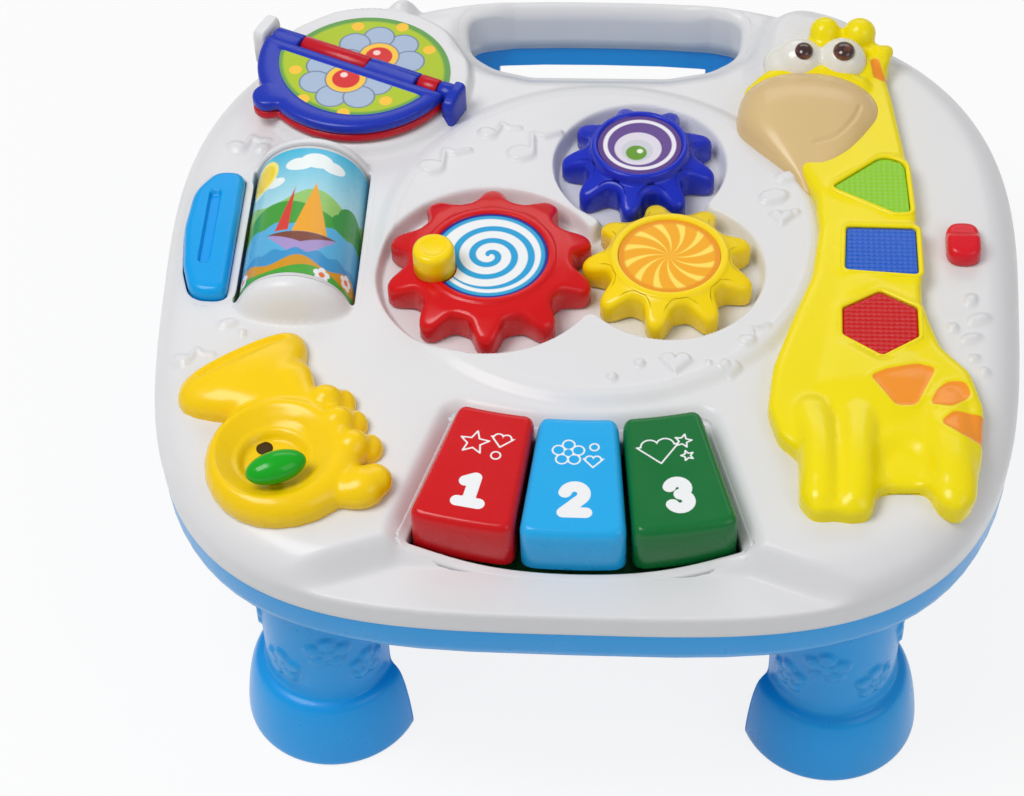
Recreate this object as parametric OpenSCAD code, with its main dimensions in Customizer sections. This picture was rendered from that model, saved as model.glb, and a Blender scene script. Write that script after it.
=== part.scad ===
// Children's play table: a moulded activity deck on a tray with four legs.
// The origin is on the floor under the middle of the table, +Y points to the carry handle.
// Heights of everything on the deck are counted from the deck plane, which on_deck() lifts into place.

/* [Table] */
// Overall width, left to right
table_w = 330; // [300:1:400]
// Overall depth, front to rear
table_d = 320; // [300:1:390]
// Height of the deck above the floor
deck_h = 135; // [100:1:220]
// Squareness of the front corners, 2 is an ellipse
front_square = 3.5; // [2.8:0.1:5]
// Squareness of the rear corners
rear_square = 2.7; // [2.4:0.1:5]
// Extra width at the rear, as a share of the width
rear_widen = 0.043; // [0:0.001:0.06]
// Wall thickness of the mouldings
wall = 2.4; // [1.8:0.1:3]

/* [Shells] */
// Height of the top shell, from the seam to the deck
top_h = 23.2; // [21:0.1:30]
// Height of the tray's rim below the seam
rim_h = 17.2; // [16:0.1:26]
// Raised round plateau in the middle of the deck: radius
plateau_r = 88; // [84:1:92]
// How far the plateau stands above the deck
plateau_h = 2.5; // [1:0.5:4]
// Depth of the lowered apron in front of the keys
apron_drop = 12; // [8:0.5:14]

/* [Carry slot] */
// Length of the slot
slot_w = 116; // [90:1:130]
// Thickness of the carry bar behind the slot
slot_bar = 9; // [8:0.5:20]
// Front to rear width of the slot
slot_d = 39; // [26:1:40]
// Height of the carry bar's lower half below the seam
bar_low = 10.3; // [6:0.1:16]
// Depth of the channel in front of the slot
channel_drop = 6; // [3:0.5:10]

/* [Legs] */
// Distance of a leg's axis from the table's side
leg_from_side = 68.5; // [60:0.5:90]
// Distance of a leg's axis from the table's front or rear
leg_from_end = 51.2; // [48:0.2:80]
// Radius of the foot on the floor
foot_r = 34; // [30:0.5:40]
// Radius of the column
leg_r = 24.5; // [22:0.5:27]
// Height of the flared foot
foot_h = 30; // [20:1:36]
// Radius of the plug that the leg pushes into the tray
plug_r = 12.5; // [9:0.5:13]
// Length of that plug
plug_h = 12; // [6:0.5:13]

/* [Gears] */
// Tip radius of the red gear
red_r = 40.3; // [34:0.1:44]
// Teeth of the red gear
red_teeth = 10; // [8:1:14]
// Tip radius of the yellow gear
yellow_r = 33; // [28:0.1:36]
// Teeth of the yellow gear
yellow_teeth = 9; // [7:1:12]
// Tip radius of the blue gear
blue_r = 30.6; // [26:0.1:33]
// Teeth of the blue gear
blue_teeth = 9; // [7:1:12]
// Height of a tooth from root to tip
tooth_h = 8.8; // [7:0.1:10]
// How far meshing tips reach past each other
mesh_depth = 5; // [2:0.1:5.2]
// Thickness of a gear
gear_h = 13.4; // [10:0.2:18]
// Depth of the gear basin below the deck
basin_depth = 4.5; // [3:0.5:8]
// Radius of the spindle under each gear
spindle_r = 5; // [3.5:0.1:6]

/* [Drum] */
// Radius of the roller
drum_r = 22; // [18:0.2:24]
// Length of the roller
drum_l = 70.5; // [50:0.5:76]
// Distance of the drum's axis from the table's left side
drum_from_side = 54; // [50:0.5:60]
// Height of the drum's axis below the deck
drum_sunk = 7; // [4:0.5:10]
// Radius of the drum's axle
axle_r = 2; // [1.5:0.1:3]

/* [Keys] */
// Radius of the arc that the keys' rear edges lie on
key_rear_r = 160; // [150:1:165]
// Length of a key
key_l = 55; // [45:1:58]
// Angle that one key spans on that arc
key_angle = 10.2; // [8:0.1:10.3]
// Angle from one key to the next
key_pitch = 10.7; // [10.6:0.1:11]
// Height of the keys above the deck
key_up = 8.4; // [5:0.2:10]
// Distance of the keys' front from the table's front
key_from_front = 20; // [17:0.5:24]

/* [Flip book] */
// Radius of the pages
page_r = 39; // [32:0.5:40]
// Thickness of the blue page
blue_page_t = 4.5; // [3:0.1:4.6]
// Thickness of the red page
red_page_t = 3.6; // [2:0.1:4.4]
// Radius of the hinge knuckles
knuckle_r = 4.2; // [3:0.1:4.6]
// Radius of the hinge pin
book_pin_r = 1.4; // [1:0.1:2]

/* [Paddle button] */
// Length of the button
button_l = 67; // [50:1:70]
// How far it stands above the deck
button_up = 5; // [3:0.5:7]

/* [Horn] */
// Radius of the horn's loop
horn_loop_r = 28; // [24:0.5:29]
// Height of the horn above the deck
horn_h = 9.5; // [7:0.5:12]
// Radius of the lever's pivot pin
lever_pin_r = 1.5; // [1:0.1:2]

/* [Giraffe] */
// Height of the giraffe's body above the deck
giraffe_h = 8.5; // [6:0.5:11]

/* [Fits] */
// Radial clearance of a shaft that turns in its bore
run_fit = 0.05; // [0.02:0.01:0.1]
// Gap between a moving piece and its opening
move_gap = 0.5; // [0.4:0.1:0.8]
// Gap round a fixed insert
seat_gap = 0.15; // [0.1:0.05:0.3]

/* [Hidden] */
$fn = 48;
outline_points = 80;
half_w = table_w / 2;
half_d = table_d / 2;
seam = -top_h;
tray_z = seam - rim_h;
tray_floor = tray_z + wall;
tray_rings = [[tray_z, 6], [tray_z + 1, 3.6], [tray_z + 3.5, 1.6], [tray_z + 7, 0.8], [seam, 0.6]];
bar_bottom = seam - bar_low;
cut = 60;
// Half the slot's outline: how far in from its end, and which share of its width from the rear
slot_steps = [[10, -0.23], [0, 0.18], [3, 0.62], [13, 0.87], [27, 1]];
bar_half = slot_w / 2 - 14;

white = "white";
sky = "deepskyblue";
yellow = "gold";
red = "red";
navy = "mediumblue";
green = "seagreen";
steel = "silver";
board_green = "darkgreen";
rubber_grey = "dimgray";

// Round plateau and the gears on it. The red gear's place is set, the others follow the mesh.
plateau_at = [4, 14];
red_at = [-37.2, -6];
red_to_yellow = 1.5;
yellow_to_blue = 102.6;
yellow_at = red_at + (red_r + yellow_r - mesh_depth) * [cos(red_to_yellow), sin(red_to_yellow)];
blue_at = yellow_at + (yellow_r + blue_r - mesh_depth) * [cos(yellow_to_blue), sin(yellow_to_blue)];
gear_foot = -basin_depth + 0.6;
gear_top = gear_foot + gear_h;
basin_gap = 3.2;
tooth_steps = 14;
tooth_sharp = 1.4;
tooth_duty = 0.25;
washer_h = 1;
gear_screw_r = 1.5;
spindle_end = -basin_depth - wall - 0.3;
label_t = 0.4;
red_label_r = 22.5;
yellow_label_r = 19.5;
blue_label_r = 16.5;
flat_collar = 0.6;
blue_collar = 4;
// A red gap faces a yellow tooth, and a yellow tooth faces a blue gap
red_phase = red_to_yellow + 180 / red_teeth;
yellow_phase = 180 + red_to_yellow;
yellow_pitch = 360 / yellow_teeth;
tooth_turn = yellow_phase - yellow_to_blue;
tooth_miss = tooth_turn - yellow_pitch * round(tooth_turn / yellow_pitch);
blue_phase = 180 + yellow_to_blue + 180 / blue_teeth - tooth_miss * yellow_teeth / blue_teeth;

// Knob on the red gear
knob_r = 8;
knob_h = 11;
knob_spot = 21.6 * [cos(200), sin(200)];
knob_peg_r = 2.5;

// Drum, its window and its hood
drum_x = -half_w + drum_from_side;
drum_y = 11.2;
drum_end_gap = 0.6;
sleeve_t = 0.25;
window_half = drum_r + sleeve_t + move_gap;
bulkhead_t = wall;
hood_l = 22;
hood_straight = 6;
drum_rear = drum_y + drum_l / 2 + drum_end_gap;
drum_front = drum_y - drum_l / 2 - drum_end_gap;

// Keys fan out from a point on the table's middle line
key_front_r = key_rear_r + key_l;
fan_y = -half_d + key_from_front + key_front_r;
key_down = 12;
key_pivot_r = key_rear_r - 9;
key_pivot_z = -12.5;
funnel_run = 8;
funnel_drop = 7;
key_rod_r = 1.5;
key_tab_w = 14;
key_press_r = key_rear_r + 35;
key_foot_z = -15;
key_colours = [red, sky, green];

// Circuit board under the keys
board_t = 1.6;
board_z = -22.6;
board_size = [104, 40];
board_at = [0, fan_y - key_press_r + 3];
board_screw_at = [[-48, 16], [48, 16], [-48, -16], [48, -16]];
board_screw_r = 1.3;
dome_r = 5;
dome_h = key_foot_z - 0.3 - board_z - board_t;

// Paddle button beside the drum
button_right = drum_x - window_half - 2.8;
button_y = 13.5;
button_edge = 8;
button_foot = -8;
button_flange = 1.4;
button_board_z = -18;
button_board_size = [16, 30];
button_mid = (button_right - half_w + button_edge) / 2;

// Flip book in the left rear corner
book_at = [-half_w + 70, half_d - 60];
book_turn = -24;
book_base_r = page_r + 3;
book_base_h = 4.5;
book_axis_z = book_base_h + blue_page_t + 0.7;
book_l = 82;
page_gap = 0.3;
page_start = knuckle_r + 0.5;
knuckle_stops = [0, 13, 44, 67, 76];
post_l = 6;
post_at = page_r + 0.7;
post_w = 6.6;
post_front = 9.5;
nub_reach = page_r + 5.4;
nub_at = nub_reach * [cos(76), sin(76)];
nub_r = 6.5;
ear_root = 9;

// Horn in the left front corner
horn_at = [-half_w + 57, -half_d + 49];
valve_at = [[16, 36.5], [23, 26.5], [30, 15]];
lever_turn = 34;
lever_rest = 4;
lever_pivot_z = -10;
bean_z = 13;
bean_r = 6;
bean_half = 5.5;
stem_r = 2.2;
lever_swing = 22;
lever_slot = stem_r + (horn_h - lever_pivot_z) * tan(lever_swing);
dish_r = 16;
dish_floor = 3;
barrel_r = 3.6;
barrel_l = 8;
lug_t = 3;
lever_dir = [-sin(lever_turn), cos(lever_turn)];
lever_at = horn_at - lever_rest * lever_dir;

// Giraffe on the right, placed from the right side
giraffe_x = half_w - 165;
lens_t = 2.4;
lens_sunk = 1.2;
lens_lip = 1.6;
lamp_r = 2.5;
lamp_at = [[114, 40], [112, 4], [110, -33]];
lamp_board_z = -7;
muzzle_at = [84.5, 70];
muzzle_r = 26;
muzzle_z = 3.5;
muzzle_flat = 0.58;
chin_at = [84.5, 54];
chin_r = 15;
eye_at = [[82.4, 105.5], [98.7, 106]];
horn_knob_at = [[91.6, 119.5], [105.6, 119]];
// Bulging legs: place across, rear end, front end, radius
leg_bulges = [[86.2, -94, -116, 8], [99.6, -94, -116, 8], [133.4, -92, -111, 9]];
eye_r = 10.5;
iris_r = 4.6;

// Slide switch
knob_at = [half_w - 22, 12];
knob_size = [13, 20];
knob_up = 8;
knob_travel = 6;
stem_size = [3.4, 5];
switch_size = [11, 22, 7];

// Tray fittings
leg_x = half_w - leg_from_side;
leg_y = half_d - leg_from_end;
// Flare of the foot: how far in from its edge at each share of its height
foot_steps = [[0, 0], [0, 0.17], [1, 0.43], [2.4, 0.7], [3.8, 0.87], [5.2, 0.96], [7, 1]];
case_screw_r = 1.6;
case_boss_r = 4;
case_screw_at = [
    [-half_w + 15, 68], [half_w - 15, 68], [-half_w + 15, -52], [half_w - 15, -52],
    [-78, half_d - 20], [78, half_d - 20], [-66, -half_d + 14], [66, -half_d + 14]
];
cell_r = 7.2;
cell_l = 50;
cell_pitch = 15.2;
bay_at = [0, -47];
bay_size = [cell_l + 8, 3 * cell_pitch + 2];
bay_top = -20;
cell_z = tray_floor + cell_r + 0.8;
cover_screw_r = 1.5;
cover_screw_at = [bay_at[0], bay_at[1] + bay_size[1] / 2 + 3 + wall];
speaker_r = 25;
speaker_at = [66, 66];
speaker_h = 15;
grille_r = 1.6;
grille_pitch = 6.5;

function ring(radius, angle) = radius * [cos(angle), sin(angle)];
function bend(value, power) = sign(value) * pow(abs(value), power);

// Outline of the table: two half superellipses, a little wider at the rear
function table_point(t, inset) =
    let (power = 2 / (sin(t) >= 0 ? rear_square : front_square),
         across = bend(cos(t), power),
         along = bend(sin(t), power))
    [(half_w - inset) * across * (1 + rear_widen * along), (half_d - inset) * along];

function table_outline(inset) =
    [for (i = [0:outline_points - 1]) table_point(360 * i / outline_points, inset)];

// Share of the tooth height at a place along the pitch
function tooth_rise(c) = 1 / (1 + exp(-2 * tooth_sharp * (c - tooth_duty)));
function tooth_share(c) = (tooth_rise(c) - tooth_rise(-1)) / (tooth_rise(1) - tooth_rise(-1));

function gear_outline(teeth, tip_r) =
    [for (i = [0:teeth * tooth_steps - 1])
        let (a = 360 * i / (teeth * tooth_steps))
        ring(tip_r - tooth_h + tooth_h * tooth_share(cos(teeth * a)), a)];

module on_deck() translate([0, 0, deck_h]) children();

// Skin through rows of points, lowest first
module skin(rows) {
    n = len(rows[0]);
    sides = [for (j = [0:len(rows) - 2]) for (i = [0:n - 1])
        let (k = (i + 1) % n, low = j * n, high = low + n)
        each [[low + i, high + i, high + k], [low + i, high + k, low + k]]];
    bottom = [for (i = [0:n - 1]) i];
    top = [for (i = [n - 1:-1:0]) (len(rows) - 1) * n + i];
    polyhedron([for (row = rows) each row], concat(sides, [bottom, top]), convexity = 6);
}

// Skin through table outlines, each given as [height, inset]
module loft(rings) skin([for (r = rings) [for (p = table_outline(r[1])) [p[0], p[1], r[0]]]]);

module tube(outer, inner, height) {
    difference() {
        cylinder(r = outer, h = height);
        translate([0, 0, -1]) cylinder(r = inner, h = height + 2);
    }
}

module rounded(r) offset(r = r) offset(delta = -r) children();

// Raised moulding: its edge steps in towards the top
module cushion(height, edge) {
    linear_extrude(height - edge) children();
    linear_extrude(height - 0.4 * edge) offset(delta = -0.35 * edge) children();
    linear_extrude(height) offset(delta = -edge) children();
}

module along_y(y) translate([0, y, 0]) rotate([-90, 0, 0]) children();

// Carry slot: parallel to the rear edge, with slanting ends
module slot_plan(grow) {
    offset(delta = grow) rounded(5) intersection() {
        polygon(table_outline(slot_bar));
        polygon([for (s = [-1, 1]) each [for (k = s < 0 ? [0:4] : [4:-1:0])
            [s * (slot_w / 2 - slot_steps[k][0]), half_d - slot_bar - slot_d * slot_steps[k][1]]]]);
    }
}

// The carry bar, between the slot's rear edge and the rim
module bar_plan() {
    translate([-bar_half, half_d - slot_bar - 10]) square([2 * bar_half, slot_bar + 20]);
}

module apron_plan(grow) {
    inner = key_front_r * sin(1.5 * key_pitch) + 2;
    offset(delta = grow) polygon([
        [-inner, -half_d + key_from_front], [inner, -half_d + key_from_front],
        [inner + 72, -half_d - 8], [-inner - 72, -half_d - 8]
    ]);
}

module fan_plan(from_r, to_r, span, grow) {
    intersection() {
        difference() {
            circle(r = to_r + grow, $fn = 180);
            circle(r = from_r - grow, $fn = 180);
        }
        offset(delta = grow)
            polygon([[0, 0], 2 * ring(to_r, -90 - span / 2), 2 * ring(to_r, -90 + span / 2)]);
    }
}

// Outline of all keys at a height, grown on every side
function fan_row(grow, z) =
    let (side = key_pitch + key_angle / 2 + grow * 180 / (PI * (key_rear_r + key_l / 2)))
    concat([for (k = [-3:3]) let (p = ring(key_front_r + grow, -90 + side * k / 3)) [p[0], p[1], z]],
           [for (k = [3:-1:-3]) let (p = ring(key_rear_r - grow, -90 + side * k / 3)) [p[0], p[1], z]]);

// Sloping surround of the keys
module key_funnel(grow) {
    edge = 0.9 + funnel_run + grow;
    skin([fan_row(0.9 + grow, -funnel_drop), fan_row(edge, 0), fan_row(edge, cut)]);
}

module on_fan() translate([0, fan_y, 0]) children();
module on_key(i) on_fan() rotate([0, 0, (i - 1) * key_pitch]) children();
module on_book() translate([book_at[0], book_at[1], 0]) rotate([0, 0, book_turn]) children();
module on_lever() translate([lever_at[0], lever_at[1], 0]) rotate([0, 0, lever_turn]) children();
module on_giraffe() translate([giraffe_x, 0, 0]) children();

module button_plan(inset) {
    intersection() {
        polygon(table_outline(button_edge + inset));
        translate([-half_w, button_y - button_l / 2 + inset])
            square([half_w + button_right - inset, button_l - 2 * inset]);
    }
}

module gear_sites() {
    translate(red_at) children(0);
    translate(yellow_at) children(1);
    translate(blue_at) children(2);
}

// The wells of the deck, grown by a wall to make their undersides
module wells(grow) {
    for (site = [[red_at, red_r], [yellow_at, yellow_r], [blue_at, blue_r]])
        translate([site[0][0], site[0][1], -basin_depth - grow])
            cylinder(r = site[1] + basin_gap + grow, h = cut, $fn = 96);
    translate([0, 0, -apron_drop - grow]) linear_extrude(cut) apron_plan(grow);
    on_fan() translate([0, 0, -grow]) key_funnel(grow);
    translate([0, 0, seam - 5]) linear_extrude(cut) slot_plan(grow);
    translate([0, -channel_drop, -channel_drop - grow]) linear_extrude(cut) slot_plan(grow);
}

module hood_profile(grow) {
    r = drum_r + grow;
    polygon(concat([[0, 0], [r, 0]],
        [for (a = [0:15:90]) [r * cos(a), hood_straight + (hood_l + grow - hood_straight) * sin(a)]]));
}

// Barrel hood in front of the drum and the arch behind it, both on the drum's axis
module drum_hood() {
    translate([drum_x, 0, -drum_sunk]) {
        along_y(drum_front) rotate([180, 0, 0]) rotate_extrude() hood_profile(0);
        along_y(drum_rear) cylinder(r = drum_r + 2, h = 5);
    }
}

module drum_bulkheads() {
    intersection() {
        translate([drum_x, 0, -drum_sunk]) {
            along_y(drum_rear) cylinder(r = drum_r, h = bulkhead_t);
            along_y(drum_front - bulkhead_t) cylinder(r = drum_r, h = bulkhead_t);
        }
        translate([drum_x - drum_r, -half_d, -drum_sunk - 8]) cube([2 * drum_r, table_d, drum_sunk + 8]);
    }
}

// Underside of the deck over a case screw: the front pair is under the apron
function deck_over(p) = p[1] < -half_d + key_from_front ? -apron_drop - 1 : -1;

module case_bosses(from_z, to_z, r) {
    for (p = case_screw_at) translate([p[0], p[1], from_z]) cylinder(r = r, h = to_z - from_z);
}

module top_bosses() {
    for (p = case_screw_at) translate([p[0], p[1], seam]) cylinder(r = case_boss_r, h = deck_over(p) - seam);
}

module lever_lugs() {
    on_lever() for (s = [-1, 1])
        translate([s * (barrel_l / 2 + 0.4 + lug_t / 2), 0, lever_pivot_z]) {
            rotate([0, 90, 0]) cylinder(r = barrel_r, h = lug_t, center = true);
            translate([-lug_t / 2, -barrel_r, 0]) cube([lug_t, 2 * barrel_r, -lever_pivot_z - wall / 2]);
        }
}

module key_lugs() {
    for (i = [0:2]) on_key(i) for (s = [-1, 1])
        translate([s * (key_tab_w / 2 + 0.4 + lug_t / 2), -key_pivot_r, key_pivot_z]) {
            rotate([0, 90, 0]) cylinder(r = 3.4, h = lug_t, center = true);
            translate([-lug_t / 2, -3.4, 0]) cube([lug_t, 6.8, -key_pivot_z - wall / 2]);
        }
}

module giraffe_plan() {
    rounded(3.5) union() {
        hull() {
            translate([87, 84]) circle(r = 21);
            translate([95, 110]) circle(r = 14);
        }
        polygon([
            [80, 50], [87, 34], [88, 16], [85, -9], [77, -33], [70, -56], [68, -76], [72, -90], [79, -97],
            [79, -118], [84, -125], [104, -124], [107, -112], [124, -111], [128, -119], [135, -123],
            [140, -117], [144, -98], [146, -74], [142, -57], [132, -45], [126, -24], [126, 10], [124, 46],
            [119, 84], [114, 104], [100, 100]
        ]);
    }
}

module green_lens_plan() rounded(3) polygon([[94, 36.5], [112, 53], [122, 51], [123.4, 24], [117, 23.6]]);
module blue_lens_plan() rounded(2) polygon([[98, 15.2], [125, 15], [125, -10], [97, -8.2]]);
module red_lens_plan() {
    rounded(2) polygon([[110, -18.5], [124, -26.8], [124, -42], [110, -51.8], [95.4, -41.6], [95.6, -27.6]]);
}

module horn_plan() {
    translate(horn_at) rounded(1.5) union() {
        circle(r = horn_loop_r);
        hull() {
            translate([-36, 35]) circle(r = 5);
            translate([-5, 66]) circle(r = 5);
            translate([0, 44]) circle(r = 6);
            translate([-20, 26]) circle(r = 6);
        }
        hull() {
            translate([2, 44]) circle(r = 8);
            translate([-8, 16]) circle(r = 16);
            translate([20, 4]) circle(r = 10);
        }
        for (p = valve_at) translate(p) circle(r = 6.8);
        hull() {
            translate([22, 2]) circle(r = 7);
            translate([36, -6]) circle(r = 8);
        }
    }
}

// Openings through the deck that moving pieces and lamps pass
module deck_cuts() {
    on_fan() translate([0, 0, -cut]) linear_extrude(2 * cut)
        fan_plan(key_rear_r, key_front_r, 2 * key_pitch + key_angle, 0.9);
    translate([drum_x - window_half, drum_front, -cut])
        cube([2 * window_half, drum_rear - drum_front, 2 * cut]);
    translate([0, 0, -cut]) linear_extrude(2 * cut) button_plan(-move_gap);
    gear_sites() {
        translate([0, 0, -cut]) cylinder(r = spindle_r + run_fit, h = cut);
        translate([0, 0, -cut]) cylinder(r = spindle_r + run_fit, h = cut);
        translate([0, 0, -cut]) cylinder(r = spindle_r + run_fit, h = cut);
    }
    on_lever() translate([-stem_r - move_gap, -stem_r - 1, -wall - 1])
        cube([2 * (stem_r + move_gap), stem_r + 1 + lever_slot, wall + 2]);
    translate([knob_at[0] - stem_size[0] / 2 - move_gap,
               knob_at[1] - stem_size[1] / 2 - knob_travel - move_gap, -wall - 1])
        cube([stem_size[0] + 2 * move_gap, stem_size[1] + knob_travel + 2 * move_gap, wall + 2]);
    on_giraffe() for (p = lamp_at)
        translate([p[0], p[1], -wall - 1]) cylinder(r = lamp_r + move_gap, h = cut);
}

// Bores for the fixed pins in the top shell
module pin_bores() {
    translate([drum_x, 0, -drum_sunk]) along_y(drum_front - bulkhead_t - 1)
        cylinder(r = axle_r, h = drum_l + 2 * (drum_end_gap + bulkhead_t + 1));
    on_lever() translate([0, 0, lever_pivot_z]) rotate([0, 90, 0])
        cylinder(r = lever_pin_r, h = barrel_l + 2 * lug_t + 2, center = true);
    for (i = [0:2]) on_key(i) translate([0, -key_pivot_r, key_pivot_z]) rotate([0, 90, 0])
        cylinder(r = key_rod_r, h = key_tab_w + 2 * lug_t + 2, center = true);
    case_bosses(seam - 1, seam + 6, case_screw_r);
    on_book() translate([-book_l / 2 - 5.5, 0, book_axis_z]) rotate([0, 90, 0])
        cylinder(r = book_pin_r, h = 6.5);
}

// White ear that holds the left end of the book's pin
module book_ear() {
    on_book() translate([-book_l / 2 - 5, 0, 0]) {
        translate([0, -5, -ear_root]) cube([4.6, 10, book_axis_z + ear_root]);
        translate([0, 0, book_axis_z]) rotate([0, 90, 0]) cylinder(r = 5, h = 4.6);
    }
}

module top_shell() color(white) on_deck() difference() {
    union() {
        difference() {
            union() {
                loft([[seam, 0.4], [seam + 8, 0], [-9, 1.2], [-5, 3.2], [-2, 6.5], [-0.5, 10.5], [0, 15]]);
                translate(plateau_at) cylinder(r1 = plateau_r, r2 = plateau_r - 3, h = plateau_h, $fn = 120);
                intersection() {
                    on_book() cylinder(r1 = book_base_r + 2, r2 = book_base_r, h = book_base_h, $fn = 96);
                    linear_extrude(cut) polygon(table_outline(1));
                }
                book_ear();
                translate([book_at[0] + nub_at[0], book_at[1] + nub_at[1], 0]) sphere(r = nub_r);
                intersection() {
                    drum_hood();
                    translate([-half_w, -half_d, -1]) cube([table_w, table_d, cut]);
                }
            }
            wells(0);
            difference() {
                loft([[seam - 1, wall + 0.4], [-9, wall + 1.2], [-5, wall + 3.2], [-wall, 15]]);
                wells(wall);
            }
        }
        drum_bulkheads();
        lever_lugs();
        difference() {
            key_lugs();
            wells(0);
        }
        intersection() {
            top_bosses();
            loft([[seam, wall], [-1, 10]]);
        }
    }
    deck_cuts();
    pin_bores();
    on_giraffe() linear_extrude(cut) offset(delta = seat_gap) union() {
        giraffe_plan();
        muzzle_plan();
    }
}

module leg_socket(grow) {
    for (sx = [-1, 1]) for (sy = [-1, 1])
        translate([sx * leg_x, sy * leg_y, tray_z])
            cylinder(r = plug_r + seat_gap + grow, h = plug_h + 0.5 + grow);
}

module bay_plan(grow) translate(bay_at) offset(delta = grow) square(bay_size, center = true);

// Opening of the battery bay with a step for the screw at its rear
module cover_plan(grow) {
    offset(delta = grow) union() {
        bay_plan(0);
        translate([bay_at[0], bay_at[1] + bay_size[1] / 2 + 2]) square([14, 8], center = true);
    }
}

module grille_holes() {
    for (i = [-3:3]) for (j = [-3:3])
        let (p = grille_pitch * [i + (j % 2 == 0 ? 0 : 0.5), j * 0.866])
        if (norm(p) < speaker_r - 5)
            translate([speaker_at[0] + p[0], speaker_at[1] + p[1], tray_z - 1])
                cylinder(r = grille_r, h = wall + 2, $fn = 16);
}

module board_posts(r, top) {
    for (p = board_screw_at)
        translate([board_at[0] + p[0], board_at[1] + p[1], tray_floor - 0.5])
            cylinder(r = r, h = top - tray_floor + 0.5);
}

module base_tray() color(sky) on_deck() difference() {
    union() {
        difference() {
            loft(tray_rings);
            difference() {
                loft([[tray_floor, 8], [tray_z + 7, wall + 0.8], [seam + 1, wall + 0.6]]);
                translate([0, 0, tray_z - 1]) linear_extrude(cut) slot_plan(wall);
                translate([0, 0, tray_z - 1]) linear_extrude(bay_top - tray_z + 1) bay_plan(wall);
                leg_socket(wall);
            }
        }
        intersection() {
            loft(tray_rings);
            union() {
                translate([0, 0, bar_bottom]) linear_extrude(wall) bar_plan();
                for (s = [-1, 1]) translate([s * bar_half - wall, half_d - slot_bar - 10, tray_z])
                    cube([2 * wall, slot_bar + 20, bar_bottom + wall - tray_z]);
            }
        }
        case_bosses(tray_z + 1, seam, case_boss_r);
        board_posts(3, board_z);
        for (s = [-1, 1]) translate([button_mid, button_y + s * 11, tray_floor - 0.5])
            cylinder(r = 3, h = button_board_z - tray_floor + 0.5);
        translate([speaker_at[0], speaker_at[1], tray_floor - 0.5])
            tube(speaker_r + 0.3 + wall, speaker_r + 0.3, 6);
        translate([cover_screw_at[0], cover_screw_at[1], tray_z + 1]) cylinder(r = 4, h = 12);
        translate([giraffe_x + 112, 0, tray_floor - 0.5]) for (y = [50, -44])
            translate([0, y, 0]) cylinder(r = 3, h = lamp_board_z - tray_floor + 0.5);
    }
    translate([0, 0, tray_z - 1]) linear_extrude(cut) slot_plan(0);
    translate([0, 0, seam]) linear_extrude(cut) slot_plan(wall + seat_gap);
    translate([0, 0, tray_z - 1]) linear_extrude(bar_bottom - tray_z + 1) bar_plan();
    leg_socket(0);
    translate([0, 0, tray_z - 1]) linear_extrude(bay_top - wall - tray_z + 1) bay_plan(0);
    translate([0, 0, tray_z - 1]) linear_extrude(2.6) cover_plan(seat_gap);
    translate([cover_screw_at[0], cover_screw_at[1], tray_z]) cylinder(r = cover_screw_r, h = 10);
    grille_holes();
    case_bosses(tray_z - 1, seam + 1, case_screw_r + 0.3);
    case_bosses(tray_z - 1, tray_z + 5, 3.2);
    board_posts(board_screw_r, board_z + 1);
}

// One leg: a half-round column, open at the inner side, with a plug on top
module leg(sx, sy) {
    top = deck_h + tray_z;
    cut_at = 0.35 * foot_r;
    turn = atan2(sy * leg_y, sx * leg_x);
    color(sky) translate([sx * leg_x, sy * leg_y, 0]) rotate([0, 0, turn]) difference() {
        union() {
            rotate_extrude($fn = 72) polygon(concat(
                [for (f = foot_steps) [foot_r - f[0], f[1] * foot_h]],
                [[leg_r + 0.9, foot_h + 1], [leg_r, foot_h + 4], [leg_r, top], [0, top], [0, top - wall],
                 [leg_r - wall, top - wall], [leg_r - wall, foot_h + 1]],
                [for (k = [len(foot_steps) - 1:-1:0])
                    [foot_r - foot_steps[k][0] - wall, foot_steps[k][1] * foot_h]]));
            translate([0, 0, top - wall]) cylinder(r = plug_r, h = plug_h + wall);
        }
        translate([-2 * foot_r - cut_at, -foot_r - 1, -1]) cube([2 * foot_r, 2 * foot_r + 2, top + 1]);
        translate([0, 0, top - wall - 1]) cylinder(r = plug_r - wall, h = plug_h + wall + 2);
    }
}

module leg_front_left() leg(-1, -1);
module leg_front_right() leg(1, -1);
module leg_rear_left() leg(-1, 1);
module leg_rear_right() leg(1, 1);

// Toy gear: rounded teeth whose tops fall away to the tip, hollow below, on a spindle
module gear(teeth, tip_r, phase, label_r, collar_h) {
    root_r = tip_r - tooth_h;
    rotate([0, 0, phase]) difference() {
        union() {
            intersection() {
                translate([0, 0, gear_foot]) linear_extrude(gear_h + collar_h)
                    polygon(gear_outline(teeth, tip_r));
                rotate_extrude($fn = 96) polygon([
                    [0, gear_foot], [tip_r + 1, gear_foot], [tip_r + 1, gear_top - 4.5],
                    [root_r + 1, gear_top - 0.8], [label_r + 3.4, gear_top],
                    [label_r + 2.2, gear_top + collar_h], [0, gear_top + collar_h]
                ]);
            }
            translate([0, 0, spindle_end]) cylinder(r = spindle_r, h = gear_top - spindle_end - 2);
        }
        translate([0, 0, gear_top + collar_h - 1.2]) cylinder(r = label_r, h = 5, $fn = 72);
        translate([0, 0, gear_foot - 1]) tube(root_r - wall, spindle_r + wall, gear_h - wall - 2);
        translate([0, 0, spindle_end - 1]) cylinder(r = gear_screw_r, h = 9);
    }
}

module gear_label(label_r, collar_h) {
    translate([0, 0, gear_top + collar_h - 1.2]) cylinder(r = label_r - seat_gap, h = label_t, $fn = 72);
}

module gear_screw() {
    color(steel) {
        translate([0, 0, spindle_end - washer_h]) cylinder(r = spindle_r + 3, h = washer_h);
        translate([0, 0, spindle_end - washer_h - 2]) cylinder(r = 3.2, h = 2);
        translate([0, 0, spindle_end - washer_h - 1]) cylinder(r = gear_screw_r, h = 9);
    }
}

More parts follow.
